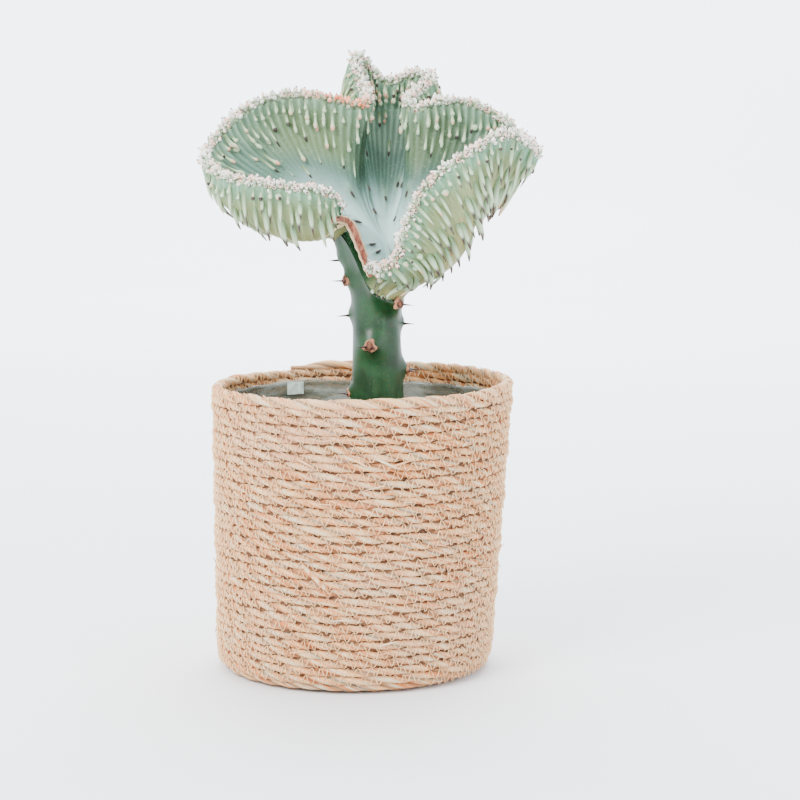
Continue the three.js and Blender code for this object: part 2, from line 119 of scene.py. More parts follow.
def piece(name, shape, finish, layers=None):
    """Mesh object from points in millimetres, faces of four and faces of three corners, and one value or
    vector for every point in each layer."""
    points, quads, triangles = shape
    mesh = bpy.data.meshes.new(name)
    mesh.vertices.add(len(points))
    mesh.vertices.foreach_set("co", (np.asarray(points) * MM).astype(np.float32).ravel())
    mesh.loops.add(quads.size + triangles.size)
    corners = np.concatenate([quads.ravel(), triangles.ravel()])
    mesh.loops.foreach_set("vertex_index", corners.astype(np.int32))
    starts = np.concatenate([np.arange(len(quads)) * 4, quads.size + np.arange(len(triangles)) * 3])
    mesh.polygons.add(len(starts))
    mesh.polygons.foreach_set("loop_start", starts.astype(np.int32))
    mesh.update(calc_edges=True)
    mesh.shade_smooth()
    for layer, values in (layers or {}).items():
        vector = np.ndim(values) == 2
        kind = "FLOAT_VECTOR" if vector else "FLOAT"
        data = mesh.attributes.new(layer, kind, "POINT").data
        data.foreach_set("vector" if vector else "value", np.asarray(values, np.float32).ravel())
    mesh.materials.append(finish)
    made = bpy.data.objects.new(name, mesh)
    bpy.context.scene.collection.objects.link(made)
    return made


class Wire:
    """One output of a material's nodes. Sums, differences and products of wires and numbers add Math
    nodes."""

    def __init__(self, tree, socket=None):
        self.tree = tree
        self.socket = socket

    def node(self, kind, settings=None, values=None, out=0):
        """Any node: its settings are set first, then the values or the links of its sockets."""
        made = self.tree.nodes.new(kind)
        for name, value in (settings or {}).items():
            setattr(made, name, value)
        for name, value in (values or {}).items():
            if isinstance(value, Wire):
                self.tree.links.new(value.socket, made.inputs[name])
            else:
                made.inputs[name].default_value = value
        return Wire(self.tree, made.outputs[out])

    def maths(self, operation, first, second):
        """A Math node on two wires or numbers."""
        return self.node("ShaderNodeMath", {"operation": operation}, {0: first, 1: second})

    def __add__(self, other):
        return self.maths("ADD", self, other)

    def __sub__(self, other):
        return self.maths("SUBTRACT", self, other)

    def __rsub__(self, other):
        return self.maths("SUBTRACT", other, self)

    def __mul__(self, other):
        return self.maths("MULTIPLY", self, other)

    __radd__ = __add__
    __rmul__ = __mul__

    def step(self, low, high, bottom=0.0, top=1.0):
        """Rises smoothly from bottom to top while the value goes from low to high."""
        ends = {"Value": self, "From Min": low, "From Max": high, "To Min": bottom, "To Max": top}
        return self.node("ShaderNodeMapRange", {"interpolation_type": "SMOOTHSTEP"}, ends)

    def between(self, first, second):
        """Colour between two colours, this value being the share of the second."""
        return self.node("ShaderNodeMix", {"data_type": "RGBA"}, {0: self, 6: first, 7: second}, out=2)

    def layer(self, name, out=2):
        """Value that the piece gives each of its points, or its vector where out is 1."""
        return self.node("ShaderNodeAttribute", {"attribute_name": name}, out=out)

    def scaled(self, factors):
        """This vector with each part multiplied by its own factor."""
        return self.node("ShaderNodeVectorMath", {"operation": "MULTIPLY"}, {0: self, 1: factors})

    def place(self):
        """Object coordinates, in metres."""
        return self.node("ShaderNodeTexCoord", out=3)

    def noise(self, vector, scale, detail=3.0, rough=0.55):
        """Cloudy value from 0 to 1, its clouds smaller the larger the scale."""
        values = {"Vector": vector, "Scale": scale, "Detail": detail, "Roughness": rough}
        return self.node("ShaderNodeTexNoise", None, values)

    def bump(self, height, distance, strength=1.0):
        """Surface direction tilted by the slope of a height that stands distance metres tall."""
        values = {"Strength": strength, "Distance": distance, "Height": height}
        return self.node("ShaderNodeBump", None, values)


def srgb(red, green, blue):
    """Linear colour of an sRGB colour given from 0 to 255."""
    values = np.array([red, green, blue]) / 255
    linear = np.where(values <= 0.04045, values / 12.92, ((values + 0.055) / 1.055) ** 2.4)
    return (*linear.tolist(), 1.0)


def finish(name, paint):
    """Material whose shader sockets take what paint returns for a bare wire."""
    made = bpy.data.materials.new(name)
    made.use_nodes = True
    shader = made.node_tree.nodes["Principled BSDF"]
    for socket, value in paint(Wire(made.node_tree)).items():
        if isinstance(value, Wire):
            made.node_tree.links.new(value.socket, shader.inputs[socket])
        else:
            shader.inputs[socket].default_value = value
    return made


def dried_grass(w):
    """Straw colour that drifts along each ply, with fine streaks along its fibres and odd grey blades."""
    strand = w.layer("strand", out=1)
    drift = w.noise(strand.scaled((0.3, 0.3, 0.045)), 1.0, 2.0)
    streak = w.noise(strand.scaled((2.4, 2.4, 0.08)), 1.0, 3.0, 0.6)
    blade = w.noise(strand.scaled((0.5, 0.5, 0.03)), 1.0, 1.0)
    patch = w.noise(w.place(), 14.0, 2.0)
    base = drift.step(0.34, 0.62).between(srgb(212, 136, 80), srgb(240, 188, 130))
    base = blade.step(0.55, 0.63).between(base, srgb(218, 204, 170))
    base = blade.step(0.43, 0.36).between(base, srgb(206, 120, 60))
    base = (patch.step(0.5, 0.66) * 0.35).between(base, srgb(232, 204, 172))
    base = (streak.step(0.52, 0.76) * 0.55).between(base, srgb(126, 76, 44))
    base = (streak.step(0.46, 0.25) * 0.45).between(base, srgb(252, 228, 190))
    # painted shade: the groove where the two plies meet is darkened
    base = (w.layer("ply_gap_shade") * 0.75).between(base, srgb(84, 46, 24))
    height = streak * 0.7 + drift * 0.3
    rough = streak.step(0.3, 0.7, 0.62, 0.86)
    return {"Base Color": base, "Roughness": rough, "Normal": w.bump(height, 0.0008, 0.9)}


def ply_radius(angle):
    """Outline of two round plies side by side: the farther crossing of the ray with either circle."""
    across = PLY_OFFSET * np.sin(angle)
    return PLY_OFFSET * np.abs(np.cos(angle)) + np.sqrt(PLY_RADIUS**2 - across**2)


def coil_centre(turns):
    """Middle of the rope after a number of turns: flat spiral, one coil on the corner, then the leaning
    wall, which two small waves each push in and out and up and down."""
    count = np.arange(ALL_COILS + 1)
    height = np.where(count < BASE_COILS, FLAT_Z, WALL_Z + PITCH * (count - BASE_COILS - 1.0))
    height[-1] -= END_SINK
    spiral = SPIRAL_START + FLAT_PITCH * count
    radius = np.where(count < BASE_COILS, spiral, wall_radius(height) - ROPE_REACH)
    height[BASE_COILS] = CORNER_Z
    radius[BASE_COILS] = CORNER_RADIUS
    angle = ROPE_END + 2 * np.pi * turns
    height = np.interp(turns, count, height)
    radius = np.interp(turns, count, radius)
    above = np.clip((height - 8) / 20, 0, 1)
    sway = 0.3 * np.sin(2.3 * turns + 2 * angle) + 0.35 * np.sin(5.1 * turns + 3 * angle)
    radius = radius + above * sway
    height = height + above * (0.25 * np.sin(4.1 * turns + 5 * angle) + 0.5 * np.sin(angle + 0.6))
    return circle(basket_shift(height), radius, height, angle), angle


def rope(first, last, spacing, sides):
    """Two-ply outline carried along the coils from one number of turns to another, turning as it goes.
    Slow waves swell the rope and each ply, the flat coils are pressed, the rim coil is thicker, and the
    end tapers by a square root."""
    fine = np.linspace(first, last, 4000)
    run = np.concatenate([[0], np.cumsum(np.linalg.norm(np.diff(coil_centre(fine)[0], axis=0), axis=1))])
    steps = int(run[-1] / spacing)
    along = np.linspace(0, run[-1], steps)
    turns = np.interp(along, run, fine)
    centre, angle = coil_centre(turns)
    twist = 2 * np.pi * along / TWIST_LENGTH + 1.6 * np.sin(along / 61) + 0.8 * np.sin(along / 23)
    phase = np.arange(sides) * 2 * np.pi / sides
    swell = 1 + 0.03 * np.sin(along / 9.3) + 0.03 * np.sin(along / 23.7)
    taper = np.clip((ALL_COILS - turns) / 0.05, 0.25, 1) ** 0.5
    ply = np.sign(np.cos(phase))
    lumps = 1 + 0.035 * np.sin(along[:, None] / 5.1 + 2.2 * ply)
    lumps = lumps + 0.035 * np.sin(along[:, None] / 13.7 + 1.3 * ply)
    pressed = 1 - 0.16 * np.clip((BASE_COILS - 0.1 - turns) / 0.8, 0, 1)
    rim = 1 + 0.2 * np.clip((turns - ALL_COILS + 1) / 0.1, 0, 1)
    radii = ply_radius(phase) * lumps * (swell * taper * pressed * rim)[:, None]
    centre[:, 2] -= PITCH * 0.45 * (1 - taper)
    shape = tubes(centre[None], radii[None], circle(0, 1, 0, angle)[None], sides, twist[None])
    fibres = (ROPE_REACH * np.cos(phase), ROPE_REACH * np.sin(phase), along[:, None] + 900 * first)
    strand = np.stack([np.broadcast_to(part, radii.shape) for part in fibres], -1).reshape(-1, 3)
    # painted shade mask, highest in the groove where the two plies meet
    ply_gap_shade = np.broadcast_to(np.abs(np.sin(phase)) ** 10, radii.shape).ravel()
    ends = np.array([[0, 0, 0], [0, 0, along[-1]]])
    return shape, {"strand": np.vstack([strand, ends]), "ply_gap_shade": np.concatenate([ply_gap_shade, [1, 1]])}


grass = finish("dried_grass_rope", dried_grass)
under_coil = BASE_COILS - 1.6
middle_coil = BASE_COILS + 1 + WALL_COILS // 2
# Each length of rope: its first and last turn, the distance between its rings and the sides of its outline.
for name, first, last, spacing, sides in (
    ("basket_bottom_coils", 0.12, under_coil, 3.0, 8),
    ("basket_lower_coils", under_coil, middle_coil, 1.9, 12),
    ("basket_upper_coils", middle_coil, ALL_COILS, 1.9, 12),
):
    shape, layers = rope(first, last, spacing, sides)
    coils = piece(name, shape, grass, layers)
    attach(coils, "root")
    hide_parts("basket")


def closed_rings(rings, ends):
    """Skin over rings of points, closed by one point at each end."""
    return np.vstack([rings.reshape(-1, 3), ends]), *skin_faces(*rings.shape[:2])


def lathe(profile, columns=96, shift=lambda height: 0 * height):
    """Closed turned shape: every (radius, height) of the profile goes round the axis, poles at both ends."""
    radius, height = np.asarray(profile, float).T
    angle = np.arange(columns) * 2 * np.pi / columns
    rings = circle(shift(height)[:, None], radius[:, None], height[:, None], angle)
    return closed_rings(rings[1:-1], rings[[0, -1], 0])


def packed_straw_painted_shade(w):
    """Broken straw seen in the gaps between the coils, painted dark as the shade in those gaps."""
    mottle = w.noise(w.place(), 320.0, 4.0, 0.7)
    base = mottle.step(0.35, 0.65).between(srgb(66, 40, 22), srgb(126, 86, 56))
    return {"Base Color": base, "Roughness": 0.9, "Normal": w.bump(mottle, 0.001)}


# Straw packed behind the rope: radius and height, out along the bottom, up the outside and down the inside.
CORE_FOOT = 14
CORE_TOP = 156.6
core_profile = [
    (0, 3.4),
    (70, 3.4),
    (73.4, 6.6),
    (wall_radius(CORE_FOOT) - 1.7, CORE_FOOT),
    (wall_radius(156) - 1.9, CORE_TOP),
    (wall_radius(156) - 3.1, CORE_TOP),
    (wall_radius(CORE_FOOT) - 3.1, CORE_FOOT),
    (71.5, 5.4),
    (69, 4.2),
    (0, 4.2),
]
core = piece("basket_core", lathe(core_profile, 96, basket_shift), finish("packed_straw_painted_shade", packed_straw_painted_shade))
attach(core, "root")
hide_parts("basket")

# The sewing thread: a pale zigzag that crosses each coil from one seam to the next, pulled into the seams.
THREAD_STEP = 2.7  # mean length along the coil of one crossing
THREAD_RADIUS = 0.3
THREAD_RISE = 2.5  # above and below the middle of the coil
SEAM_OUT = 1.3  # how far out from the rope's middle the thread lies in a seam
COIL_OUT = 1.5  # how much farther out it lies over a coil
THREAD_SWING = np.radians(80)
CROSSING_POINTS = 4
MEAN_RADIUS = 78
FIRST_STITCH = BASE_COILS - 0.5
FIRST_INSIDE = ALL_COILS - 3.1  # the inside shows only above the film
LAST_STITCH = ALL_COILS - 0.1


def zigzag(first, last, facing):
    """Thread along the coils: a triangle wave of uneven steps swings it from seam to seam, and it stands
    off the rope by the cosine of that swing."""
    crossings = int(2 * np.pi * MEAN_RADIUS * (last - first) / THREAD_STEP)
    ends = np.cumsum(0.6 + 0.8 * random.random(crossings))
    ends = first + (last - first) * ends / ends[-1]
    phase = np.linspace(0, crossings - 1, CROSSING_POINTS * (crossings - 1) + 1)
    turns = np.interp(phase, np.arange(crossings), ends)
    reach = np.interp(phase, np.arange(crossings), 0.9 + 0.25 * random.random(crossings))
    swing = (1 - 2 * np.abs(phase % 2 - 1)) * THREAD_SWING
    centre, angle = coil_centre(turns)
    out = SEAM_OUT + COIL_OUT * np.cos(swing)
    centre += circle(0, facing * out, THREAD_RISE * np.sin(swing) * reach, angle)
    radii = np.full((1, len(turns)), THREAD_RADIUS)
    return tubes(centre[None], radii, circle(0, 1, 0, angle)[None], 3)


def sewing_thread(w):
    """Undyed cream cotton, a little darker in places."""
    mottle = w.noise(w.place(), 260.0, 3.0)
    base = mottle.step(0.35, 0.7).between(srgb(252, 214, 164), srgb(228, 172, 116))
    return {"Base Color": base, "Roughness": 0.75, "Normal": w.bump(mottle, 0.0002)}


thread_finish = finish("cream_cotton_thread", sewing_thread)
for name, first, last, facing in (
    ("basket_thread_outside", FIRST_STITCH, LAST_STITCH, 1),
    ("basket_thread_inside", FIRST_INSIDE, LAST_STITCH, -1),
):
    thread = piece(name, zigzag(first, last, facing), thread_finish)
    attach(thread, "root")
    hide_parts("basket")


BLADE_COUNT = 260
BLADE_PROFILE = np.array([0.6, 1, 1, 0.9, 0.6, 0.2])
BLADE_SIDES = 5


def loose_blades(count):
    """Straws sprung out of the rope: each runs along its coil at a slant and lifts by the square of its
    length."""
    turns = BASE_COILS + 1.5 + (WALL_COILS - 1.6) * random.random(count)
    centre, angle = coil_centre(turns)
    out = circle(0, 1, 0, angle)[:, None]
    along = np.stack([-np.sin(angle), np.cos(angle), 0.3 * random.normal(size=count)], -1)[:, None]
    length = ((4 + 10 * random.random(count)) * np.where(random.random(count) < 0.5, -1, 1))[:, None, None]
    lift = (0.4 + 1.4 * random.random(count) ** 2)[:, None, None]
    share = np.linspace(0, 1, len(BLADE_PROFILE))[None, :, None]
    paths = centre[:, None] + out * (2.5 + lift * share**2) + along * length * share
    radii = (0.2 + 0.5 * random.random(count) ** 3)[:, None] * BLADE_PROFILE
    shape = tubes(paths, radii, out, BLADE_SIDES)
    strand = np.repeat(random.random((count, 3)) * 900, len(BLADE_PROFILE) * BLADE_SIDES + 2, axis=0)
    return shape, {"strand": strand, "ply_gap_shade": np.zeros(len(strand))}


shape, layers = loose_blades(BLADE_COUNT)
blades = piece("basket_loose_blades", shape, grass, layers)
# One thick broken straw stands off the front, low on the left.
STRAW_PATH = np.array([(-25.7, -75, 70.8), (-20.5, -77.6, 65.8), (-15.2, -79.4, 60.6), (-10.8, -80.4, 55.8)])
STRAW_RADII = np.array([0.8, 1.4, 1.2, 0.4])
straw = tubes(STRAW_PATH[None], STRAW_RADII[None], np.array([0.0, -1.0, 0.2]), 6)
layers = {"strand": straw[0] * (1, 1, 4), "ply_gap_shade": np.zeros(len(straw[0]))}
broken = piece("basket_broken_straw", straw, grass, layers)
for made in (blades, broken):
    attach(made, "root")
    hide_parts("basket")

# Clear film lining
# Thin clear plastic pushed against the inside of the basket, its cut edge a few coils below the rim.
# It takes up the ripple of the coils and hangs in soft upright creases.
FILM_TOP = 151
FILM_FLOOR = 5.4
FILM_CORNER = 14.3  # from here up it follows the wall
FILM_INSET = 6.0  # from the outside of the wall to the film
FILM_THICKNESS = 0.25
FLOOR_THICKNESS = 0.3
FILM_COLUMNS = 360


def film_rings():
    """Inner wall radius less the ripple of the coils and a few creases, as an outer and an inner skin."""
    angle = np.arange(FILM_COLUMNS) * 2 * np.pi / FILM_COLUMNS
    height = np.concatenate([[FILM_FLOOR, FILM_FLOOR, 9.5], np.linspace(FILM_CORNER, FILM_TOP, 90)])
    radius = np.concatenate([[30, 68.8, 69.6], wall_radius(height[3:]) - FILM_INSET])
    crease = 0.35 * np.sin(17 * angle + 1) + 0.3 * np.sin(29 * angle) + 0.2 * np.sin(53 * angle + 2)
    fade = np.clip((height - 14) / 20, 0, 1)[:, None]
    ripple = 0.25 * np.cos(2 * np.pi * height / PITCH)[:, None]
    folds = crease * (0.6 + 0.4 * np.sin(height / 17))[:, None]
    reach = radius[:, None] - fade * (0.75 + ripple + 0.5 * folds)
    top = np.clip((height - 120) / 31, 0, 1)[:, None]
    wavy = 0.8 * np.sin(3 * angle + 1) + 0.5 * np.sin(7 * angle) + 0.3 * np.sin(23 * angle)
    level = height[:, None] + top * wavy
    outer = circle(basket_shift(level), reach, level, angle)
    inner = circle(basket_shift(level), reach - FILM_THICKNESS, level, angle)
    inner[:3, :, 2] += FLOOR_THICKNESS
    return np.concatenate([outer, inner[::-1]])


def clear_film(w):
    """Nearly clear plastic, cloudier where it creases and where dried splashes hold to it, its grey a painted
    shade for the inside of the basket.
    """
    cloud = w.noise(w.place().scaled((1, 1, 3.0)), 45.0, 3.0, 0.6)
    crease = w.noise(w.place().scaled((1, 1, 0.25)), 130.0, 3.0, 0.6)
    # painted shade: the grey veil darkens the inside of the basket seen through the film
    base = cloud.step(0.4, 0.62).between(srgb(116, 122, 110), srgb(160, 168, 160))
    alpha = cloud.step(0.38, 0.62, 0.5, 0.6) + crease.step(0.6, 0.75, 0.0, 0.12)
    return {
        "Base Color": base,
        "Roughness": cloud.step(0.35, 0.7, 0.1, 0.3),
        "Alpha": alpha,
        "Normal": w.bump(crease, 0.0006, 0.6),
        "Specular IOR Level": 0.8,
    }


ends = np.array([[0.2, 0, FILM_FLOOR], [0.2, 0, FILM_FLOOR + FLOOR_THICKNESS]])
film = piece("film_wall", closed_rings(film_rings(), ends), finish("clear_film", clear_film))
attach(film, "root")
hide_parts("film_lining")

# Growing pot and soil
# Thin dark nursery pot with a rolled lip, filled with a gritty brown mix that mounds round the stem.
POT_X = 5
POT_FOOT = 6.2
POT_TOP = 122
POT_FOOT_RADIUS = 50
POT_FLARE = 14
SOIL_FLOOR = 8.6
SOIL_TOP = 118
STEM_X = 13.5
HOLE_RADIUS = 15.1
HOLE_FLOOR = 93.8


def pot_radius(height):
    """Outer radius of the pot: grows evenly with height from its foot to its lip."""
    return POT_FOOT_RADIUS + POT_FLARE * (height - POT_FOOT) / (POT_TOP - POT_FOOT)


def moulded_plastic(w):
    """Black-brown polypropylene with a fine matt grain and dusty scuffs."""
    grain = w.noise(w.place(), 900.0, 3.0)
    scuff = w.noise(w.place(), 45.0, 4.0)
    base = scuff.step(0.45, 0.75).between(srgb(44, 39, 35), srgb(92, 82, 72))
    return {"Base Color": base, "Roughness": scuff.step(0.3, 0.7, 0.4, 0.65), "Normal": w.bump(grain, 0.0002)}


# Radius and height: out along the bottom, up the outside, round the rolled lip, and down the inside.
pot_profile = [
    (0, 6.3),
    (pot_radius(6.3) - 1, 6.3),
    (pot_radius(7.3), 7.3),
    (pot_radius(113), 113),
    (pot_radius(114) + 1.9, 114.2),
    (pot_radius(114) + 2.5, 115),
    (pot_radius(121) + 2.4, 121),
    (pot_radius(121) + 1.8, 121.8),
    (pot_radius(122) - 1, 121.9),
    (pot_radius(121) - 1.5, 121),
    (pot_radius(9) - 1.5, 9),
    (pot_radius(8) - 3, 8.1),
    (0, 8.1),
]
pot_shape = lathe(pot_profile, 128, lambda height: POT_X + 0 * height)
pot = piece("pot_shell", pot_shape, finish("moulded_plastic", moulded_plastic))
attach(pot, "root")
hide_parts("growing_pot")


def soil_rings():
    """Mound that rises to the stem, its height roughened by sums of waves, closed below on the pot floor."""
    angle = np.linspace(0, 2 * np.pi, 240, endpoint=False)
    share = np.linspace(0, 1, 40)[:, None]
    radius = (pot_radius(116) - 2) * (1 - share) + HOLE_RADIUS * share
    waves = ((5, 1), (11, 2), (23, 3.3), (41, 5.1))
    bumps = sum(0.22 * np.sin(a * angle + 0.31 * b * radius + b) for a, b in waves)
    height = SOIL_TOP - 2 + 3.4 * np.sin(share * np.pi / 2) + bumps * np.clip(share * 9, 0, 1)
    top = circle(POT_X + (STEM_X - POT_X) * share, radius, height, angle)
    low = circle(POT_X, pot_radius(9) - 2.2, SOIL_FLOOR, angle)
    hole = circle(STEM_X, HOLE_RADIUS, HOLE_FLOOR, angle)
    return np.concatenate([low[None], top, hole[None]])


def potting_mix(w):
    """Peat brown with darker wet patches and pale grit."""
    patch = w.noise(w.place(), 60.0, 4.0)
    speck = w.noise(w.place(), 700.0, 2.0)
    base = patch.step(0.4, 0.65).between(srgb(52, 38, 28), srgb(92, 70, 52))
    base = speck.step(0.66, 0.72).between(base, srgb(176, 164, 146))
    return {"Base Color": base, "Roughness": 0.95, "Normal": w.bump(speck + patch, 0.0015)}


soil_finish = finish("potting_mix", potting_mix)
soil_ends = np.array([[POT_X, 0, SOIL_FLOOR], [STEM_X, 0, HOLE_FLOOR]])
soil = piece("soil_mound", closed_rings(soil_rings(), soil_ends), soil_finish)
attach(soil, "root")
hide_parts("soil")


GRIT_COUNT = 700


def scattered_grit(count):
    """Short rods of many sizes strewn over the mound between the stem and the pot wall."""
    share = random.random(count) ** 0.6
    angle = random.random(count) * 2 * np.pi
    radius = 18 + 41 * share
    height = 119.4 - 2.6 * np.clip((radius - 20) / 42, 0, 1) ** 2
    middle = np.stack([POT_X + (1 - share) * 8 + radius * np.cos(angle), radius * np.sin(angle), height], -1)
    direction = unit(random.normal(size=(count, 3)) * (1, 1, 0.35))
    size = 0.5 + 1.2 * random.random(count) ** 2
    along = np.linspace(-1, 1, 4)[None, :, None]
    paths = middle[:, None] + direction[:, None] * along * (size * 1.3)[:, None, None]
    radii = size[:, None] * np.array([0.45, 0.95, 1.0, 0.5])
    return tubes(paths, radii, np.array([0.1, 0.2, 1.0]), 6)


grit = piece("soil_grit", scattered_grit(GRIT_COUNT), soil_finish)
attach(grit, "root")
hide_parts("soil")

# Crest
# The crested scion: one thick sheet of flesh that opens from the graft into a left cup, a right cup
# and a pleat at the back. Waxy, powder blue inside, yellow-green outside, ribbed towards the edge.
# Each edge key gives x, y, z of the growing edge and the lean of the sheet from it towards the stem.
EDGE_KEYS = np.array(
    [
        (9, -24, 225, 5, 5, -4),
        (18, -31, 223, 9, 3, -9),
        (26, -38, 231, 20, 0, -10),
        (31, -44, 247, 26, -2, -16),
        (39, -50, 265, 25, -2, -26),
        (51, -54, 277, 20, -4, -32),
        (65, -52, 286, 4, -8, -31),
        (79, -44, 294, -3, -7, -26),
        (91, -31, 290, -8, -5, -22),
        (98, -13, 284, -9, -3, -18),
        (97, 7, 288, -7, 5, -21),
        (88, 20, 297, 2, 8, -24),
        (76, 25, 306, 2, 6, -26),
        (62, 25, 311, 2, 3, -28),
        (47, 20, 311, 2, 0, -26),
        (36, 16, 308, 0, 0, -24),
        (30, 23, 311, -1, 4, -22),
        (34, 36, 317, 2, 5, -22),
        (42, 48, 323, 7, 3, -22),
        (42, 60, 327, 3, 6, -25),
        (30, 63, 326, -2, 6, -28),
        (20, 60, 323, -2, 8, -28),
        (11, 61, 328, -3, 8, -28),
        (1, 58, 337, -9, 5, -24),
        (1, 47, 329, -14, 2, -16),
        (5, 36, 320, -9, 4, -15),
        (8, 24, 313, -2, 2, -20),
        (1, 12, 309, -2, 0, -24),
        (-13, 9, 313, 0, 0, -26),
        (-32, 13, 315, 2, 3, -28),
        (-50, 13, 312, 4, 8, -26),
        (-64, 9, 303, 6, 6, -22),
        (-74, -1, 292, 6, 2, -20),
        (-79, -14, 282, 4, -4, -20),
        (-72, -30, 274, 0, -8, -28),
        (-59, -43, 270, 0, -8, -38),
        (-43, -50, 268, 0, -6, -45),
        (-27, -52, 266, 1, -4, -46),
        (-14, -46, 264, 0, -2, -42),
        (-8, -35, 258, -6, -1, -22),
        (-8, -23, 252, -1, 9, 0),
        (-5, -14, 249.5, 5, 4, 0),
        (0, -14.5, 240, 5, 2, 0),
        (5, -17.5, 230.5, 5, 4, 0),
    ],
    float,
)
# Edge key, then the shoulder of the sheet and the foot of its underside on the graft.
SHOULDER_KEYS = np.array(
    [
        (0, 16, -16, 222, 9, -18, 212),
        (2, 36, -18, 212, 18, -18, 206),
        (4, 62, -14, 216, 25, -12, 204),
        (7, 64, -4, 234, 28, -2, 205),
        (10, 54, 6, 254, 27, 6, 208),
        (14, 40, 3, 264, 23, 11, 212),
        (18, 28, 18, 264, 18, 13, 216),
        (22, 14, 16, 266, 12, 14, 221),
        (25, 4, 15, 268, 6, 13, 227),
        (29, -16, 0, 268, 0, 10, 231),
        (33, -30, -6, 262, -7, 4, 236),
        (36, -26, -8, 254, -10, -1, 236),
        (38, -9, -5, 260, -10, -6, 238.5),
        (40, -2, -4, 257, -8, -10, 243),
        (41, 5, -6, 249, -5, -12, 240.5),
        (42, 9, -9, 240, -2, -13, 235.5),
    ],
    float,
)
KEY_COUNT = len(EDGE_KEYS)
VALLEY = np.array([19.0, -6, 236])  # deepest point of the inside, where all its ribs begin
GRAFT_CENTRE = np.array([10.0, -2, 221])
SHEET_HALF = 2.6  # half the thickness of the sheet
RIB_COUNT = 144
COARSE = 2 * RIB_COUNT  # columns on which the form is worked out
FINER = 4  # finished columns for each of those
SHEET_ROWS = 40
FOLD_EASE = 40  # how strongly the lower rows are smoothed
EASE_ROUNDS = 100


def closed_curve(keys, t):
    """Closed curve through the keys: the uniform cubic through four neighbouring keys, t in key steps."""
    whole = np.floor(t).astype(int)
    w = (t - whole).reshape(-1, *[1] * (keys.ndim - 1))
    p0, p1, p2, p3 = (keys[(whole + step) % len(keys)] for step in (-1, 0, 1, 2))
    first, second = 2 * p0 - 5 * p1 + 4 * p2 - p3, 3 * p1 - p0 - 3 * p2 + p3
    return 0.5 * (2 * p1 + (p2 - p0) * w + first * w**2 + second * w**3)


def shoulder_at(t):
    """Shoulder and foot at t: cubic steps between the keys, with slopes from the keys on either side."""
    keys = np.vstack([SHOULDER_KEYS[-2:], SHOULDER_KEYS, SHOULDER_KEYS[:3]])
    keys[:2, 0] -= KEY_COUNT
    keys[-3:, 0] += KEY_COUNT
    place, values = keys[:, 0], keys[:, 1:]
    slope = np.zeros_like(values)
    slope[1:-1] = (values[2:] - values[:-2]) / (place[2:] - place[:-2])[:, None]
    i = np.searchsorted(place, t, side="right") - 1
    span = (place[i + 1] - place[i])[:, None]
    w = ((t - place[i]) / span[:, 0])[:, None]
    start = (2 * w**3 - 3 * w**2 + 1) * values[i] + (w**3 - 2 * w**2 + w) * span * slope[i]
    value = start + (3 * w**2 - 2 * w**3) * values[i + 1] + (w**3 - w**2) * span * slope[i + 1]
    return value[:, :3], value[:, 3:]


def ease(value, low, high):
    """Smooth step from 0 at low to 1 at high."""
    w = np.clip((value - low) / (high - low), 0, 1)
    return w * w * (3 - 2 * w)


fine_t = np.linspace(0, KEY_COUNT, KEY_COUNT * 40 + 1)
edge_run = np.linalg.norm(np.diff(closed_curve(EDGE_KEYS, fine_t)[:, :3], axis=0), axis=1)
edge_run = np.concatenate([[0], np.cumsum(edge_run)])
column_key = np.interp(np.arange(COARSE) / COARSE * edge_run[-1], edge_run, fine_t)
edge_row = closed_curve(EDGE_KEYS, column_key)
shoulder, foot = shoulder_at(column_key)


def middle_rows(v):
    """Middle of the sheet at each reach v: a cubic from root to edge, then eased along the row by damping
    its waves, the faster ones and the lower rows the more."""
    v = v[:, None, None]
    edge, root = edge_row[:, :3], (VALLEY + foot) / 2
    back = edge + edge_row[:, 3:]
    rows = (1 - v) ** 3 * root + 3 * (1 - v) ** 2 * v * shoulder + 3 * (1 - v) * v**2 * back + v**3 * edge
    waves = np.fft.rfft(rows, axis=1)
    frequency = np.arange(waves.shape[1])[None, :, None]
    damping = np.maximum(np.cos(np.pi * frequency / COARSE), 0) ** (2 * FOLD_EASE * (1 - v))
    return np.fft.irfft(waves * damping, n=COARSE, axis=1)


def unfolded(rows, middle):
    """Eases a face where neighbouring columns would pass each other."""
    step = np.roll(middle, -1, 1) - middle
    rows = rows.copy()
    for _ in range(EASE_ROUNDS):
        crossed = ((np.roll(rows, -1, 1) - rows) * step).sum(-1) < 0.5 * (step**2).sum(-1)
        if not crossed.any():
            break
        mask = (crossed | np.roll(crossed, 1, 1))[..., None]
        eased = 0.5 * rows + 0.25 * (np.roll(rows, 1, 1) + np.roll(rows, -1, 1))
        rows = np.where(mask, eased, rows)
    return rows


# Rows from near the graft to the edge, closer together towards the edge.
reach = 0.06 + 0.94 * np.linspace(0, 1, SHEET_ROWS) ** 0.82
middle = middle_rows(reach)
lower = middle_rows(reach - 0.02)
inward = unit(np.cross(middle - lower, np.roll(middle, -2, 1) - np.roll(middle, 2, 1)))
# Both faces draw together below this reach, on the valley and on the graft. It is farther up beside the scar.
settle = 0.36 + 0.44 * ease(column_key, 40.4, 41.2) * (1 - ease(column_key, 43.4, 44))
share = ease(reach[:, None], 0, settle[None])[..., None]
inner_face = unfolded(VALLEY + (middle + inward * SHEET_HALF - VALLEY) * share, middle)
outer_face = unfolded(foot + (middle - inward * SHEET_HALF - foot) * share, middle)

FINE = COARSE * FINER
fine_column = np.arange(FINE) / FINER


def finer(rows):
    """The same rows with more columns, by the closed curve through the coarse ones."""
    return np.moveaxis(closed_curve(np.moveaxis(rows, 1, 0), fine_column), 0, 1)


def face_normals(rows, side):
    """Direction square to both the rows and the columns of a face, away from the flesh."""
    across = np.roll(rows, -2, 1) - np.roll(rows, 2, 1)
    return side * unit(np.cross(np.gradient(rows, axis=0), across))


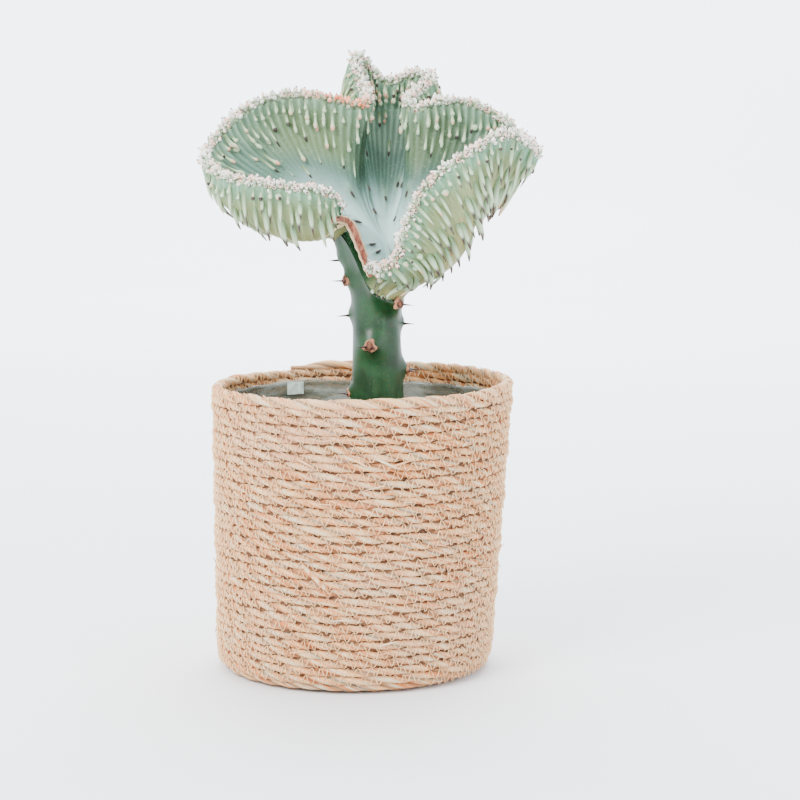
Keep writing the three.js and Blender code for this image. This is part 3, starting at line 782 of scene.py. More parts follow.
inner_face, outer_face = finer(inner_face), finer(outer_face)
fine_key = np.interp(fine_column, np.arange(COARSE + 1), np.append(column_key, KEY_COUNT))
inner_normal, outer_normal = face_normals(inner_face, 1), face_normals(outer_face, -1)
middle_fine = finer(middle)
row_width = np.linalg.norm(np.roll(middle_fine, -4, 1) - np.roll(middle_fine, 4, 1), axis=-1)
scar_fade = ease(fine_key, 0.3, 1.4) * (1 - ease(fine_key, 38.6, 39.8))


def rib_waves(power):
    """Rib relief from 0 to 1: broad ribs near the graft, doubled twice on the way to the edge."""
    v, k = reach[:, None], fine_column[None]
    broad = ease(v, 0.05, 0.12) * (1 - ease(v, 0.16, 0.26))
    medium = ease(v, 0.16, 0.26) * (1 - ease(v, 0.34, 0.42))
    fine = ease(v, 0.34, 0.42)
    wave = broad * np.cos(np.pi * k / 4) + medium * np.cos(np.pi * k / 2) + fine * np.cos(np.pi * k)
    return (0.5 + 0.5 * wave) ** power


def drop_from_edge(face):
    """Distance of every point of a face from the growing edge, along its own column."""
    length = np.linalg.norm(np.diff(face, axis=0), axis=-1)
    return np.vstack([np.cumsum(length[::-1], axis=0)[::-1], np.zeros(face.shape[1])])


inner_drop, outer_drop = drop_from_edge(inner_face), drop_from_edge(outer_face)
fade = ease(reach[:, None], 0, 0.2) * ease(row_width, 1.2, 8.8) * scar_fade
inner_rib, outer_rib = rib_waves(1.3), rib_waves(2.0)
# Spines of the smooth valley, each on a long low ridge, as (edge key, distance from the edge).
VALLEY_SPINES = [(27.6, 51), (25.3, 58), (19.5, 73), (21.1, 78), (15.3, 48), (25.3, 73), (17.5, 60)]
VALLEY_SPINES += [(31.0, 58), (41.1, 9.5), (16.3, 70), (29.9, 74), (42.6, 8.7), (43.2, 10), (23.0, 60)]
VALLEY_SPINES += [(10.5, 55), (33.5, 52)]


def ridge(drop, key, distance, length, half):
    """Low swelling that runs from a spine towards the edge: a bell curve across, a slow rise along."""
    column = np.interp(key, fine_key, np.arange(FINE))
    offset = (np.arange(FINE) - column + FINE / 2) % FINE - FINE / 2
    width = row_width / (8 * FINER / 4) * offset / half
    along = ease(drop, distance - length, distance - 1.5) * (1 - ease(drop, distance - 0.5, distance + 3))
    return np.exp(-(width**2)) * along


valley_ridges = sum(ridge(inner_drop, key, distance, 13, 1.7) for key, distance in VALLEY_SPINES)
# painted shadow: a dark smear from each valley spine towards the edge
valley_spine_shadows = sum(ridge(inner_drop, key, distance - 1, 7, 1.2) for key, distance in VALLEY_SPINES)
inner_height = fade * (inner_rib - 0.45) * (1.0 + 1.9 * ease(inner_drop, 30, 6)) + 0.9 * valley_ridges
outer_height = fade * (outer_rib - 0.3) * (2.0 + 1.0 * ease(outer_drop, 26, 6))
inner_skin = inner_face + inner_normal * inner_height[..., None]
outer_skin = outer_face + outer_normal * outer_height[..., None]


def window(value, start, end, soft):
    """1 between start and end, falling smoothly to 0 over soft outside."""
    return ease(value, start - soft, start + soft) * (1 - ease(value, end - soft, end + soft))


def sheet_layer(outside, inside):
    """One value for each point of the sheet in the order of its rings, the graft and the valley last."""
    faces = [np.broadcast_to(values, outer_drop.shape) for values in (outside, inside)]
    rows = np.concatenate([faces[0], faces[1][::-1]])
    return np.append(rows.ravel(), [rows[0, 0], rows[-1, 0]])


# Where the colours of the sheet lie, as windows of edge keys and of distances from the edge.
# olive: painted light, warm where it shines through the thin back folds
olive = np.maximum(window(fine_key, 26.6, 30.5, 1.6), 0.9 * window(fine_key, 12.6, 16.3, 1.4))
# recess: painted shade in the pleat and under the back margins, weaker on the right cup
recess_shade = np.maximum(window(fine_key, 25.0, 26.8, 0.5), window(fine_key, 16.2, 19.6, 0.7))
recess_shade = np.maximum(recess_shade, 0.4 * window(fine_key, 12.6, 16.6, 1.2))
notch = window((fine_key + 8) % KEY_COUNT, 2.6, 9.2, 1.2)  # keys 38.6 to 1.2, across the seam
pleat = window(fine_key, 19.0, 25.4, 0.8)
# streaks: painted shadow in the grooves between the ribs of the pleat
streaks = (1 - inner_rib) * window(fine_key, 16.4, 27.0, 0.8) * window(inner_drop, 16, 74, 14)
graft = window((fine_key + 8) % KEY_COUNT, 2.6, 7.9, 0.5)
rings = np.concatenate([outer_skin, inner_skin[::-1]])
crest_layers = {
    "inside": sheet_layer(0, 1),
    "crown": sheet_layer(outer_rib * fade, np.maximum(inner_rib * fade, valley_ridges)),
    "grooved": sheet_layer(fade, fade),
    "olive": sheet_layer(0, olive * window(inner_drop, 2, 32, 9)),
    "recess_shade": sheet_layer(0, recess_shade * window(inner_drop, 8, 46, 9)),
    "notch": sheet_layer(graft, notch),
    "pleat": sheet_layer(0, pleat),
    "streaks": sheet_layer(0, streaks),
    "spine_shadow": sheet_layer(0, np.clip(valley_spine_shadows, 0, 1)),
    "drop": sheet_layer(outer_drop, inner_drop),
}


def crest_skin(w):
    """Waxy flesh: powder blue deep inside, sea green then mint to the edge; outside olive yellow-green
    between whitish ribs; painted warm light where light comes through the thin back folds; green over the
    graft. Painted shade darkens the grooves between the ribs, the pleat and the recesses under the back
    margins. Painted shadows run towards the edge from the valley spines, and a painted highlight lightens the
    inner rib tops."""
    place = w.place()
    mottle = w.noise(place, 55.0, 4.0)
    speckle = w.noise(place, 620.0, 3.0, 0.65)
    blush = w.noise(place.scaled((1, 1, 1.6)), 95.0, 2.0)
    drop, crown, inside = w.layer("drop"), w.layer("crown"), w.layer("inside")
    # painted shade mask: high in the grooves between the ribs
    rib_gap_shade = (1 - crown) * w.layer("grooved")
    depth = drop + mottle * 16 - 8 - w.layer("pleat") * 32
    powder = srgb(168, 200, 197)
    inner = depth.step(32, 72).between(srgb(76, 112, 98), powder)
    inner = depth.step(20, 5).between(inner, srgb(118, 156, 130))
    # painted light: warm olive where light shines through the thin back folds
    inner = (w.layer("olive") * 0.9).between(inner, srgb(100, 120, 72))
    # painted shade in the grooves between the inner ribs
    inner = (rib_gap_shade * drop.step(62, 14, 0.4, 0.95)).between(inner, srgb(34, 62, 42))
    # painted highlight along the inner rib tops
    inner = (crown * 0.6).between(inner, srgb(164, 198, 174))
    # painted shadow in the grooves of the pleat
    inner = (w.layer("streaks") * 0.6).between(inner, srgb(44, 76, 58))
    # painted shade in the recesses of the pleat and under the back margins
    inner = (w.layer("recess_shade") * 0.85).between(inner, srgb(24, 50, 30))
    inner = w.layer("notch").between(inner, powder)
    # painted shadow towards the edge from each valley spine
    inner = (w.layer("spine_shadow") * 0.7).between(inner, srgb(52, 80, 62))
    outer = depth.step(16, 36).between(srgb(134, 146, 100), srgb(146, 144, 92))
    outer = depth.step(13, 3).between(outer, srgb(118, 164, 134))
    # painted shade in the grooves between the outer ribs
    outer = (rib_gap_shade * drop.step(46, 16, 0.5, 0.85)).between(outer, srgb(60, 78, 38))
    outer = (crown.step(0.25, 0.9) * 0.75).between(outer, srgb(190, 208, 172))
    outer = (blush.step(0.68, 0.74) * 0.6).between(outer, srgb(176, 92, 66))
    outer = w.layer("notch").between(outer, srgb(22, 70, 34))
    base = inside.between(outer, inner)
    base = (speckle.step(0.55, 0.75) * 0.18).between(base, srgb(206, 220, 206))
    base = (mottle.step(0.56, 0.76) * 0.3).between(base, srgb(66, 98, 70))
    height = speckle * 0.4 + mottle * 0.6
    return {
        "Base Color": base,
        "Roughness": mottle.step(0.3, 0.7, 0.48, 0.64),
        "Normal": w.bump(height, 0.0006, 0.7),
        "Specular IOR Level": 0.35,
        "Subsurface Weight": 0.08,
        "Subsurface Radius": (0.006, 0.007, 0.004),
        "Subsurface Scale": 0.4,
    }


crest_shape = closed_rings(rings, np.array([GRAFT_CENTRE, VALLEY]))
crest = piece("crest_sheet", crest_shape, finish("waxy_crest_skin", crest_skin), crest_layers)
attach(crest, "root")
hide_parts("crest")


# Teeth and fingers: on every rib the flesh stands up in rods and hooks that lie away from the growing
# edge, with whitish knobs or small dark spines on their tips.
ROD_SIDES = 6


def on_face(side, column, distance):
    """Point, outward direction and direction down the column at a distance from the edge, between rows."""
    face, normal, drop = side
    column = np.round(column).astype(int) % FINE
    above = np.clip((drop[:, column] > distance).sum(0) - 1, 0, len(drop) - 2)
    high, low = drop[above, column], drop[above + 1, column]
    w = np.clip((high - distance) / (high - low), 0, 1)[:, None]
    point = face[above, column] * (1 - w) + face[above + 1, column] * w
    return point, normal[above, column], unit(face[above, column] - face[above + 1, column])


def with_ends(values, first, last, sides=ROD_SIDES):
    """Values for the points of tubes: one for each station and side, then one for each end."""
    return np.concatenate([np.repeat(values, sides, axis=1), first[:, None], last[:, None]], axis=1).ravel()


def standing_rods(side, columns, tips, lengths, lift, profile, size, hook, dark, shade=0.0):
    """Rods that start on the face their length above the tip and rise by a power of the share of their
    length, bent down the column at the very end by hook. Dark is the share of rods with dark tips, and
    shade how much of the tip's colour the foot has."""
    count = len(columns)
    share = np.linspace(0, 1, len(profile))
    centres, outs = [], []
    for s in share:
        point, out, down = on_face(side, columns, tips - lengths * (1 - s))
        raised = point + out * ((lift * size * s**1.6)[:, None] - 0.5)
        centres.append(raised + down * (hook * size * s**4)[:, None])
        outs.append(out)
    radii = np.asarray(profile)[None] * size[:, None]
    tone = random.random(count)
    spread = (shade + (1 - shade) * share[None]) * np.ones((count, 1))
    each = len(profile) * ROD_SIDES + 2
    layers = {
        "tip": with_ends(spread, np.zeros(count), np.ones(count)),
        "dark": np.repeat(np.where(tone < dark, 1.0, 0.0), each),
        "tone": np.repeat(random.random(count), each),
    }
    return tubes(np.stack(centres, 1), radii, np.stack(outs, 1), ROD_SIDES), layers


def rod_row(side, keys, every, offset, distance, length, lift, profile, hook, dark, keep):
    """One uneven row of rods on every few ribs between two edge keys; keep is the share that has grown."""
    columns = np.arange(offset, RIB_COUNT, every) * 2.0 * FINER
    place = fine_key[columns.astype(int)]
    columns = columns[(place > keys[0]) & (place < keys[1])]
    columns = columns[random.random(len(columns)) < keep]
    count = len(columns)
    tips = distance * (1 + 0.17 * random.normal(size=count))
    size = np.clip(1 + 0.2 * random.normal(size=count), 0.55, 1.5)
    lengths = length * np.clip(1 + 0.25 * random.normal(size=count), 0.5, 1.5)
    columns = columns + 0.8 * random.normal(size=count)
    return standing_rods(side, columns, tips, lengths, lift, profile, size, hook, dark)


def merged(parts):
    """Several shapes with the same layers as one."""
    start, points, quads, triangles, layers = 0, [], [], [], {}
    for (p, q, t), values in parts:
        points.append(p)
        quads.append(q + start)
        triangles.append(t + start)
        start += len(p)
        for name, value in values.items():
            layers.setdefault(name, []).append(value)
    merged_layers = {name: np.concatenate(value) for name, value in layers.items()}
    return (np.vstack(points), np.vstack(quads), np.vstack(triangles)), merged_layers


# Outlines of the rods, as radii from foot to tip.
KNOB = [0.6, 0.8, 0.8, 0.75, 0.75, 1.15, 0.75]
FINGER = [0.6, 0.85, 0.85, 0.8, 0.7, 0.6, 0.25]
HOOK = [0.6, 1.1, 1.2, 1.15, 0.95, 0.6, 0.12]
THORN = [0.8, 1.5, 1.6, 1.5, 1.2, 0.85, 0.35]
BALL = [0.6, 1.3, 1.8, 2.0, 1.8, 1.3, 0.5]
# Clearer fingers of the back margins, and round knobs of the outside and of the inside, all as (edge key,
# distance from the edge).
LONG_FINGERS = [(29.08, 19), (28.72, 14), (28.37, 15.5), (28.1, 13.6), (27.78, 15), (28.13, 26), (29.42, 37)]
LONG_FINGERS += [(31.0, 34), (30.3, 20), (26.9, 18.5), (30.9, 20.5), (31.7, 10), (15.4, 10.5), (14.56, 10)]
LONG_FINGERS += [(13.92, 24), (14.6, 23), (13.0, 21), (14.08, 9), (13.55, 11), (16.4, 16), (32.6, 22)]
LONG_FINGERS += [(12.2, 18)]
OUTER_KNOBS = [(4.6, 9.2), (1.95, 5.5), (2.03, 11.4), (2.48, 11.5), (36.34, 5.4)]
INNER_KNOBS = [(31.7, 12), (12.6, 12)]
# Rows of rods: the edge keys that they stand between, every how many ribs and from which rib on, distance
# from the edge, length, lift, outline, hook, share with dark tips, and share that has grown.
INNER_ROWS = [
    ((1.5, 38), 1, 0, 7.5, 6, 1.6, KNOB, 0.2, 0.08, 0.9),
    ((3, 38), 2, 0, 13, 9, 2.2, KNOB, 0.4, 0.1, 0.8),
    ((4, 37), 2, 1, 21, 10, 1.6, KNOB, 0.3, 0.3, 0.7),
    ((5, 36), 4, 0, 33, 12, 1.0, FINGER, 0.3, 0.9, 0.6),
    ((6, 35), 4, 2, 44, 8, 0.6, FINGER, 0.3, 1.0, 0.5),
    *(((19.4, 24.7), 1, 0, distance, 5, 3.4, KNOB, 1.2, 0.12, 0.85) for distance in np.arange(4.5, 18, 3)),
]
OUTER_ROWS = [
    ((0.2, 38.6), 1, 0, 6.5, 5, 1.8, KNOB, 0.4, 0.3, 0.85),
    ((0.2, 38.4), 2, 0, 13, 10, 3.4, HOOK, 1.6, 0.6, 0.9),
    ((0.2, 38.3), 2, 1, 20, 12, 4.0, HOOK, 2.0, 0.8, 0.9),
    ((0.4, 38.0), 2, 0, 27, 14, 5.2, THORN, 2.8, 0.85, 0.95),
    ((1.4, 37.6), 2, 1, 36, 14, 5.2, THORN, 2.8, 0.85, 0.9),
    ((0.4, 37.0), 3, 1, 46, 14, 5.0, THORN, 2.6, 0.9, 0.9),
    ((1.0, 36.5), 4, 2, 58, 14, 4.4, THORN, 2.2, 0.9, 0.9),
]


def placed_rods(side, places, length, lift, profile, hook, dark, scale=1.0, shade=0.0):
    """Rods at given edge keys and distances, the long ones moved to the nearest rib."""
    keys, distances = np.array(places).T
    columns = np.interp(keys, fine_key, np.arange(FINE))
    rib = 2 * FINER
    columns = np.round(columns / rib) * rib if length > 5 else columns
    size = scale * (1 + 0.12 * random.normal(size=len(keys)))
    lengths = np.full(len(keys), float(length))
    return standing_rods(side, columns, distances, lengths, lift, profile, size, hook, dark, shade)


def tooth_flesh(w):
    """The same flesh drawn out: mint at the root, whitish to the tip, some tips dark brown or pink."""
    tip, dark, tone = w.layer("tip"), w.layer("dark"), w.layer("tone")
    mottle = w.noise(w.place(), 300.0, 3.0)
    base = tip.step(0.1, 0.85).between(srgb(106, 134, 92), srgb(184, 204, 166))
    base = (tip.step(0.75, 0.92) * (1 - dark) * tone.step(0.45, 1.0)).between(base, srgb(236, 172, 144))
    base = (tip.step(0.68, 0.86) * dark).between(base, srgb(50, 36, 32))
    base = (mottle.step(0.5, 0.8) * 0.3).between(base, srgb(136, 160, 118))
    return {
        "Base Color": base,
        "Roughness": 0.55,
        "Normal": w.bump(mottle, 0.0002),
        "Subsurface Weight": 0.1,
        "Subsurface Scale": 0.3,
    }


inner = (inner_skin, inner_normal, inner_drop)
outer = (outer_skin, outer_normal, outer_drop)
shape, layers = merged(
    [
        *(rod_row(inner, *row) for row in INNER_ROWS),
        placed_rods(inner, LONG_FINGERS, 11, 3.0, KNOB, 0.4, 0.0),
        placed_rods(inner, VALLEY_SPINES, 3.0, 1.4, FINGER, 1.2, 1.0, 0.95, 0.85),
        placed_rods(inner, INNER_KNOBS, 3, 2.2, BALL, 0.0, 0.0),
    ]
)
fingers = piece("crest_fingers", shape, finish("crest_tooth_flesh", tooth_flesh), layers)
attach(fingers, "root")
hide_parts("crest")
outer_knobs = (OUTER_KNOBS, 3, 2.4, BALL, 0.0, 0.0)
shape, layers = merged([*(rod_row(outer, *row) for row in OUTER_ROWS), placed_rods(outer, *outer_knobs)])
teeth = piece("crest_teeth", shape, finish("crest_tooth_flesh_outside", tooth_flesh), layers)
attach(teeth, "root")
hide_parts("crest")

# Growing edge
# The living margin of the crest: a crowded band of creamy and pinkish beads, each the start of a rib,
# with a tiny dark bristle. It runs the whole length of the sheet up to the scar.
EDGE_START = 0.15  # edge keys between which the margin is alive
EDGE_END = 39.5
BAND_RADIUS = 2.5
BEAD_STEP = 2.1
BEAD_ROWS = np.radians([-104, -66, -32, 0, 32, 68])  # round the edge, from the outside of the sheet inwards
BEAD_SHARE = np.array([0, 0.3, 0.62, 0.86, 1.0])  # stations along a bead, and its radius at each
BEAD_PROFILE = np.array([0.8, 1.2, 1.1, 0.6, 0.15])
edge_middle = middle_fine[-1]
edge_out = unit(middle_fine[-1] - finer(lower)[-1])
edge_in = unit(finer(inward)[-1])
edge_length = np.concatenate([[0], np.cumsum(np.linalg.norm(np.diff(edge_middle, axis=0), axis=1))])
edge_start, edge_stop = (np.interp(key, fine_key, edge_length) for key in (EDGE_START, EDGE_END))


def along_edge(distance):
    """Place, outward direction and inward-side direction of the edge at a length along it, and its key."""
    column = np.round(np.interp(distance, edge_length, np.arange(FINE))).astype(int) % FINE
    return edge_middle[column], edge_out[column], edge_in[column], fine_key[column]


def edge_band():
    """Soft tube under the beads, following the end of the sheet."""
    distance = np.linspace(edge_start, edge_stop, 620)
    point, out, side, _ = along_edge(distance)
    path = point + out * 0.6
    radii = BAND_RADIUS + 0.3 * np.sin(distance * 2.1)
    radii[[0, -1]] = 1.2
    return tubes(path[None], radii[None], side[None], 12)


def beads():
    """Little egg shapes fanned across the edge in rows, each row shifted and jittered along it."""
    parts = []
    for number, turn in enumerate(BEAD_ROWS):
        distance = np.arange(edge_start + (number % 2) * BEAD_STEP / 2, edge_stop, BEAD_STEP)
        count = len(distance)
        distance = np.clip(distance + random.normal(size=count) * 0.5, edge_start, edge_stop)
        point, out, side, key = along_edge(distance)
        turned = turn + random.normal(size=count) * 0.2
        lean = out * np.cos(turned)[:, None] + side * np.sin(turned)[:, None]
        lean = unit(lean + random.normal(size=lean.shape) * 0.22)
        base = point + out * 0.6 + lean * (1.4 + 0.7 * random.random(count))[:, None]
        size = 0.62 + 0.5 * random.random(count) ** 1.7
        length = size * (2.5 + 2.4 * random.random(count) ** 2)
        paths = base[:, None] + lean[:, None] * (BEAD_SHARE[None] * length[:, None])[..., None]
        paths = paths + out[:, None] * (0.5 * BEAD_SHARE**2)[None, :, None]
        radii = size[:, None] * BEAD_PROFILE
        each = len(BEAD_SHARE) * ROD_SIDES + 2
        tone = random.random(count)
        warm = window(key, 26.2, 28.6, 0.7) + 0.7 * window(key, 1.0, 2.0, 0.8) * random.random(count)
        layers = {
            "tip": with_ends(BEAD_SHARE[None] * np.ones((count, 1)), 0 * tone, 0 * tone + 1),
            "tone": np.repeat(tone, each),
            "warm": np.repeat(warm, each),
        }
        parts.append((tubes(paths, radii, np.array([0.1, 0.2, 1.0]), ROD_SIDES), layers))
    return merged(parts)


def edge_flesh(w):
    """Creamy white, some beads flushed pink, a warm orange patch on the back margin, mint at the root
    and a brown bristle point."""
    place = w.place()
    patch = w.noise(place, 26.0, 2.0)
    mottle = w.noise(place, 500.0, 2.0)
    tip, tone = w.layer("tip"), w.layer("tone")
    base = tone.step(0.55, 0.95).between(srgb(250, 246, 236), srgb(246, 206, 184))
    base = (patch.step(0.55, 0.7) * 0.45).between(base, srgb(244, 188, 160))
    base = (w.layer("warm") * tone.step(-0.4, 0.5)).between(base, srgb(250, 142, 92))
    base = tip.step(0.45, 0.0).between(base, srgb(130, 162, 132))
    base = (tone.step(0.26, 0.14) * 0.8).between(base, srgb(128, 158, 124))
    base = (tip.step(0.74, 0.88) * tone.step(0.36, 0.44)).between(base, srgb(84, 52, 44))
    base = (mottle.step(0.5, 0.8) * 0.2).between(base, srgb(220, 206, 196))
    return {
        "Base Color": base,
        "Roughness": 0.6,
        "Normal": w.bump(mottle, 0.0002),
        "Subsurface Weight": 0.12,
        "Subsurface Scale": 0.3,
    }


def band_flesh(w):
    """Crowded roots of the beads: mint white, darker in patches."""
    mottle = w.noise(w.place(), 420.0, 3.0)
    base = mottle.step(0.4, 0.65).between(srgb(66, 84, 54), srgb(150, 170, 136))
    return {"Base Color": base, "Roughness": 0.65, "Normal": w.bump(mottle, 0.0008)}


band = piece("growing_edge_band", edge_band(), finish("edge_band_flesh", band_flesh))
shape, layers = beads()
bead_rows = piece("growing_edge_beads", shape, finish("edge_bead_flesh", edge_flesh), layers)
for made in (band, bead_rows):
    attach(made, "root")
    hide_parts("growing_edge")

# Rootstock
# The green stem that carries the graft: round, waxy, swelling a little under each spine shield and
# widening at the top into the cut that the crest sits on.
STEM_HEIGHTS = [94, 150, 190]  # foot, bend and neck, and the radius at each
STEM_RADII = [14.0, 14.4, 13.1]
STEM_FOOT_Z, STEM_BEND_Z, NECK_Z = STEM_HEIGHTS
NECK_SHIFT = 0.7  # how far the stem leans to the left from the bend to the neck
CUT_GAP = 0.8  # between the top of the stem and the outline of the graft
MEAN_STEM_RADIUS = 14
SWELLING = 2.6
SPINE_LENGTH = 7.4
SPINE_SHARE = np.array([0, 0.2, 0.6, 1])  # stations along a spine, and its radius at each
SPINE_RADII = np.array([1.2, 0.62, 0.34, 0.06])
CORK_RISE = np.array([-0.9, 0.3, 0.9, 1.1, 0.7, 0.9])  # rings of a cork pad, and the radius of each
CORK_RADII = np.array([2.6, 2.5, 2.1, 1.7, 1.1, 0.5])
CORK_SIDES = 20
# Spine shields, as turn from the front in degrees, height, size, and 1 where the shield has turned to cork.
SHIELDS = [
    (-90, 226.5, 1.0, 0),
    (-58, 215, 1.1, 1),
    (-90, 195.5, 1.1, 0),
    (88, 191, 1.0, 0),
    (38, 204, 1.2, 1),
    (-11, 179.5, 1.4, 1),
    (86, 165.5, 1.2, 1),
    (-150, 206, 1.0, 1),
    (150, 186, 1.0, 0),
    (-140, 170, 1.1, 1),
    (175, 150, 1.0, 1),
    (-72, 153, 0.9, 1),
]


def stem_rings():
    """Circles up to the neck, then rings that go over to the outline of the graft, slowly first."""
    fine_foot = closed_curve(foot[::8], np.arange(0, len(foot[::8]), 0.25))
    angle = np.arctan2(fine_foot[:, 1] - GRAFT_CENTRE[1], fine_foot[:, 0] - GRAFT_CENTRE[0])
    rings = []
    for height in np.linspace(STEM_FOOT_Z, NECK_Z, 60):
        share = np.clip((height - STEM_BEND_Z) / (NECK_Z - STEM_BEND_Z), 0, 1)
        radius = np.interp(height, STEM_HEIGHTS, STEM_RADII)
        rings.append(circle(STEM_X - NECK_SHIFT * share, radius, height, angle))
    neck = rings[-1]
    top = fine_foot - (0, 0, CUT_GAP)
    for share in np.linspace(0, 1, 41)[1:]:
        rings.append(neck + (top - neck) * np.array([share**2.2, share**2.2, share]))
    return np.stack(rings)


def swollen(rings):
    """Pushes the stem out in a soft mound under each shield, by a bell curve of the distance to it."""
    middle = rings.mean(1, keepdims=True)
    out = unit((rings - middle) * (1, 1, 0))
    rings = rings.copy()
    for turn, height, size, _ in SHIELDS:
        angle = math.radians(turn - 90)
        facing = np.array([math.cos(angle), math.sin(angle), 0])
        around = np.arccos(np.clip((out * facing).sum(-1), -1, 1)) * MEAN_STEM_RADIUS
        gap = (around / (4.4 * size)) ** 2 + ((rings[..., 2] - height - 1.2) / (4.6 * size)) ** 2
        rings = rings + out * (SWELLING * size * np.exp(-gap))[..., None]
    return rings


def stem_skin(w):
    """Glossy mid green, mottled, darker and bluer in patches, with a pale waxy bloom in upright streaks."""
    place = w.place()
    mottle = w.noise(place, 70.0, 4.0)
    streak = w.noise(place.scaled((1, 1, 0.12)), 240.0, 3.0)
    speck = w.noise(place, 900.0, 2.0)
    base = mottle.step(0.35, 0.68).between(srgb(8, 46, 19), srgb(20, 68, 33))
    base = (streak.step(0.52, 0.75) * 0.25).between(base, srgb(56, 108, 68))
    base = (speck.step(0.62, 0.72) * 0.2).between(base, srgb(84, 128, 88))
    height = mottle * 0.6 + streak * 0.4
    return {
        "Base Color": base,
        "Roughness": mottle.step(0.3, 0.7, 0.36, 0.5),
        "Normal": w.bump(height, 0.0005, 0.5),
        "Specular IOR Level": 0.35,
        "Coat Weight": 0.08,
        "Subsurface Weight": 0.05,
        "Subsurface Scale": 0.3,
    }


stem_body = swollen(stem_rings())
ends = np.array([[STEM_X, 0, STEM_FOOT_Z], GRAFT_CENTRE - (0, 0, CUT_GAP)])
stem = piece("stem", closed_rings(stem_body, ends), finish("waxy_stem_skin", stem_skin))
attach(stem, "root")
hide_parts("rootstock")


def shield_place(turn, height):
    """Point of the swollen stem under a shield, and the direction the shield faces."""
    angle = math.radians(turn - 90)
    facing = np.array([math.cos(angle), math.sin(angle), 0])
    out = unit((stem_body - stem_body.mean(1, keepdims=True)) * (1, 1, 0))
    around = MEAN_STEM_RADIUS * np.arccos(np.clip(out @ facing, -1, 1))
    return stem_body.reshape(-1, 3)[np.hypot(stem_body[..., 2] - height, around).argmin()], facing


def shield_spines():
    """A pair of stiff cones from each shield, spread to either side and a little down."""
    starts, leans, lengths = [], [], []
    for number, (turn, height, size, _) in enumerate(SHIELDS):
        point, facing = shield_place(turn, height)
        side = np.cross([0, 0, 1], facing)
        for way in (-1, 1):
            starts.append(point + side * way * 0.9 - facing * 0.4)
            droop = np.array([0, 0, -0.1 + 0.12 * math.sin(number * 3 + way)])
            leans.append(facing + side * way * 0.5 + droop)
            lengths.append(SPINE_LENGTH * size * (1 if way == (-1) ** number else 0.75))
    run = SPINE_SHARE * np.array(lengths)[:, None]
    paths = np.array(starts)[:, None] + unit(np.array(leans))[:, None] * run[..., None]
    radii = np.ones((len(starts), 1)) * SPINE_RADII
    return tubes(paths, radii, np.array([0.1, 0.2, 1.0]), 8)


def cork_pads():
    """Low domes on the shields that have turned to cork: rings that shrink as they rise, ragged outline."""
    chosen = [(turn, height, size) for turn, height, size, cork in SHIELDS if cork]
    paths, radii = [], []
    angle = np.arange(CORK_SIDES) * 2 * np.pi / CORK_SIDES
    for number, (turn, height, size) in enumerate(chosen):
        point, facing = shield_place(turn, height)
        paths.append(point + facing * CORK_RISE[:, None] * size + np.array([0, 0, 0.3]))
        ragged = 1 + 0.16 * np.sin(3 * angle + number) + 0.12 * np.sin(5 * angle + 2 * number)
        radii.append(CORK_RADII[:, None] * ragged * size)
    count = len(chosen)
    share = np.linspace(0, 1, len(CORK_RISE)) * np.ones((count, 1))
    shape = tubes(np.array(paths), np.array(radii), np.array([0.0, 0.0, 1.0]), CORK_SIDES)
    return shape, {"tip": with_ends(share, np.zeros(count), np.ones(count), CORK_SIDES)}


def spine_horn(w):
    """Hard dark horn, grey-brown in a fine grain."""
    grain = w.noise(w.place(), 700.0, 3.0)
    base = grain.step(0.4, 0.7).between(srgb(34, 20, 18), srgb(84, 56, 48))
    return {"Base Color": base, "Roughness": 0.45, "Normal": w.bump(grain, 0.0002)}


def shield_cork(w):
    """Rough cork, pale pinkish at the rim and dark red-brown where it has cracked in the middle."""
    crack = w.noise(w.place(), 480.0, 4.0, 0.7)
    middle = w.layer("tip") + crack * 0.5
    base = middle.step(0.45, 0.95).between(srgb(190, 132, 100), srgb(84, 36, 22))
    base = (crack.step(0.55, 0.7) * 0.45).between(base, srgb(226, 190, 160))
    return {"Base Color": base, "Roughness": 0.85, "Normal": w.bump(crack, 0.0012)}


spines = piece("stem_spines", shield_spines(), finish("spine_horn", spine_horn))
shape, layers = cork_pads()
pads = piece("stem_shields", shape, finish("shield_cork", shield_cork), layers)
for made in (spines, pads):
    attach(made, "root")
    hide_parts("rootstock")

# Graft scar
# Corky healed strip over the open end of the sheet, where the scion was cut and set on the stem. It
# arches from under the left cup down to the first beads of the growing edge.
SCAR_PATH = np.array(
    [
        (-12.1, -46.4, 249.9),
        (-8.8, -41.6, 250.8),
        (-5.9, -29, 250.2),
        (-2.4, -19, 248.2),
        (0.7, -18, 243.6),
        (3.4, -19, 236.8),
        (6.0, -20.5, 230.1),
        (8.3, -22, 223.4),
        (9.8, -22.5, 218.8),
    ]
)
SCAR_SIDES = 20
HALF_THICKNESS = 1.3
# Half the width at shares of the length, and a short stub of cork that runs in under the left cup.
WIDTH_SHARE = [0, 0.08, 0.5, 0.9, 1]
HALF_WIDTH = [0.6, 2.0, 2.9, 2.2, 1.0]
STUB_PATH = np.array([(-5.4, -25, 247.4), (-8.5, -33, 246.2), (-11.5, -40, 243.8), (-14.0, -44, 241.6)])
STUB_RADII = np.array([1.4, 1.2, 0.8, 0.2])


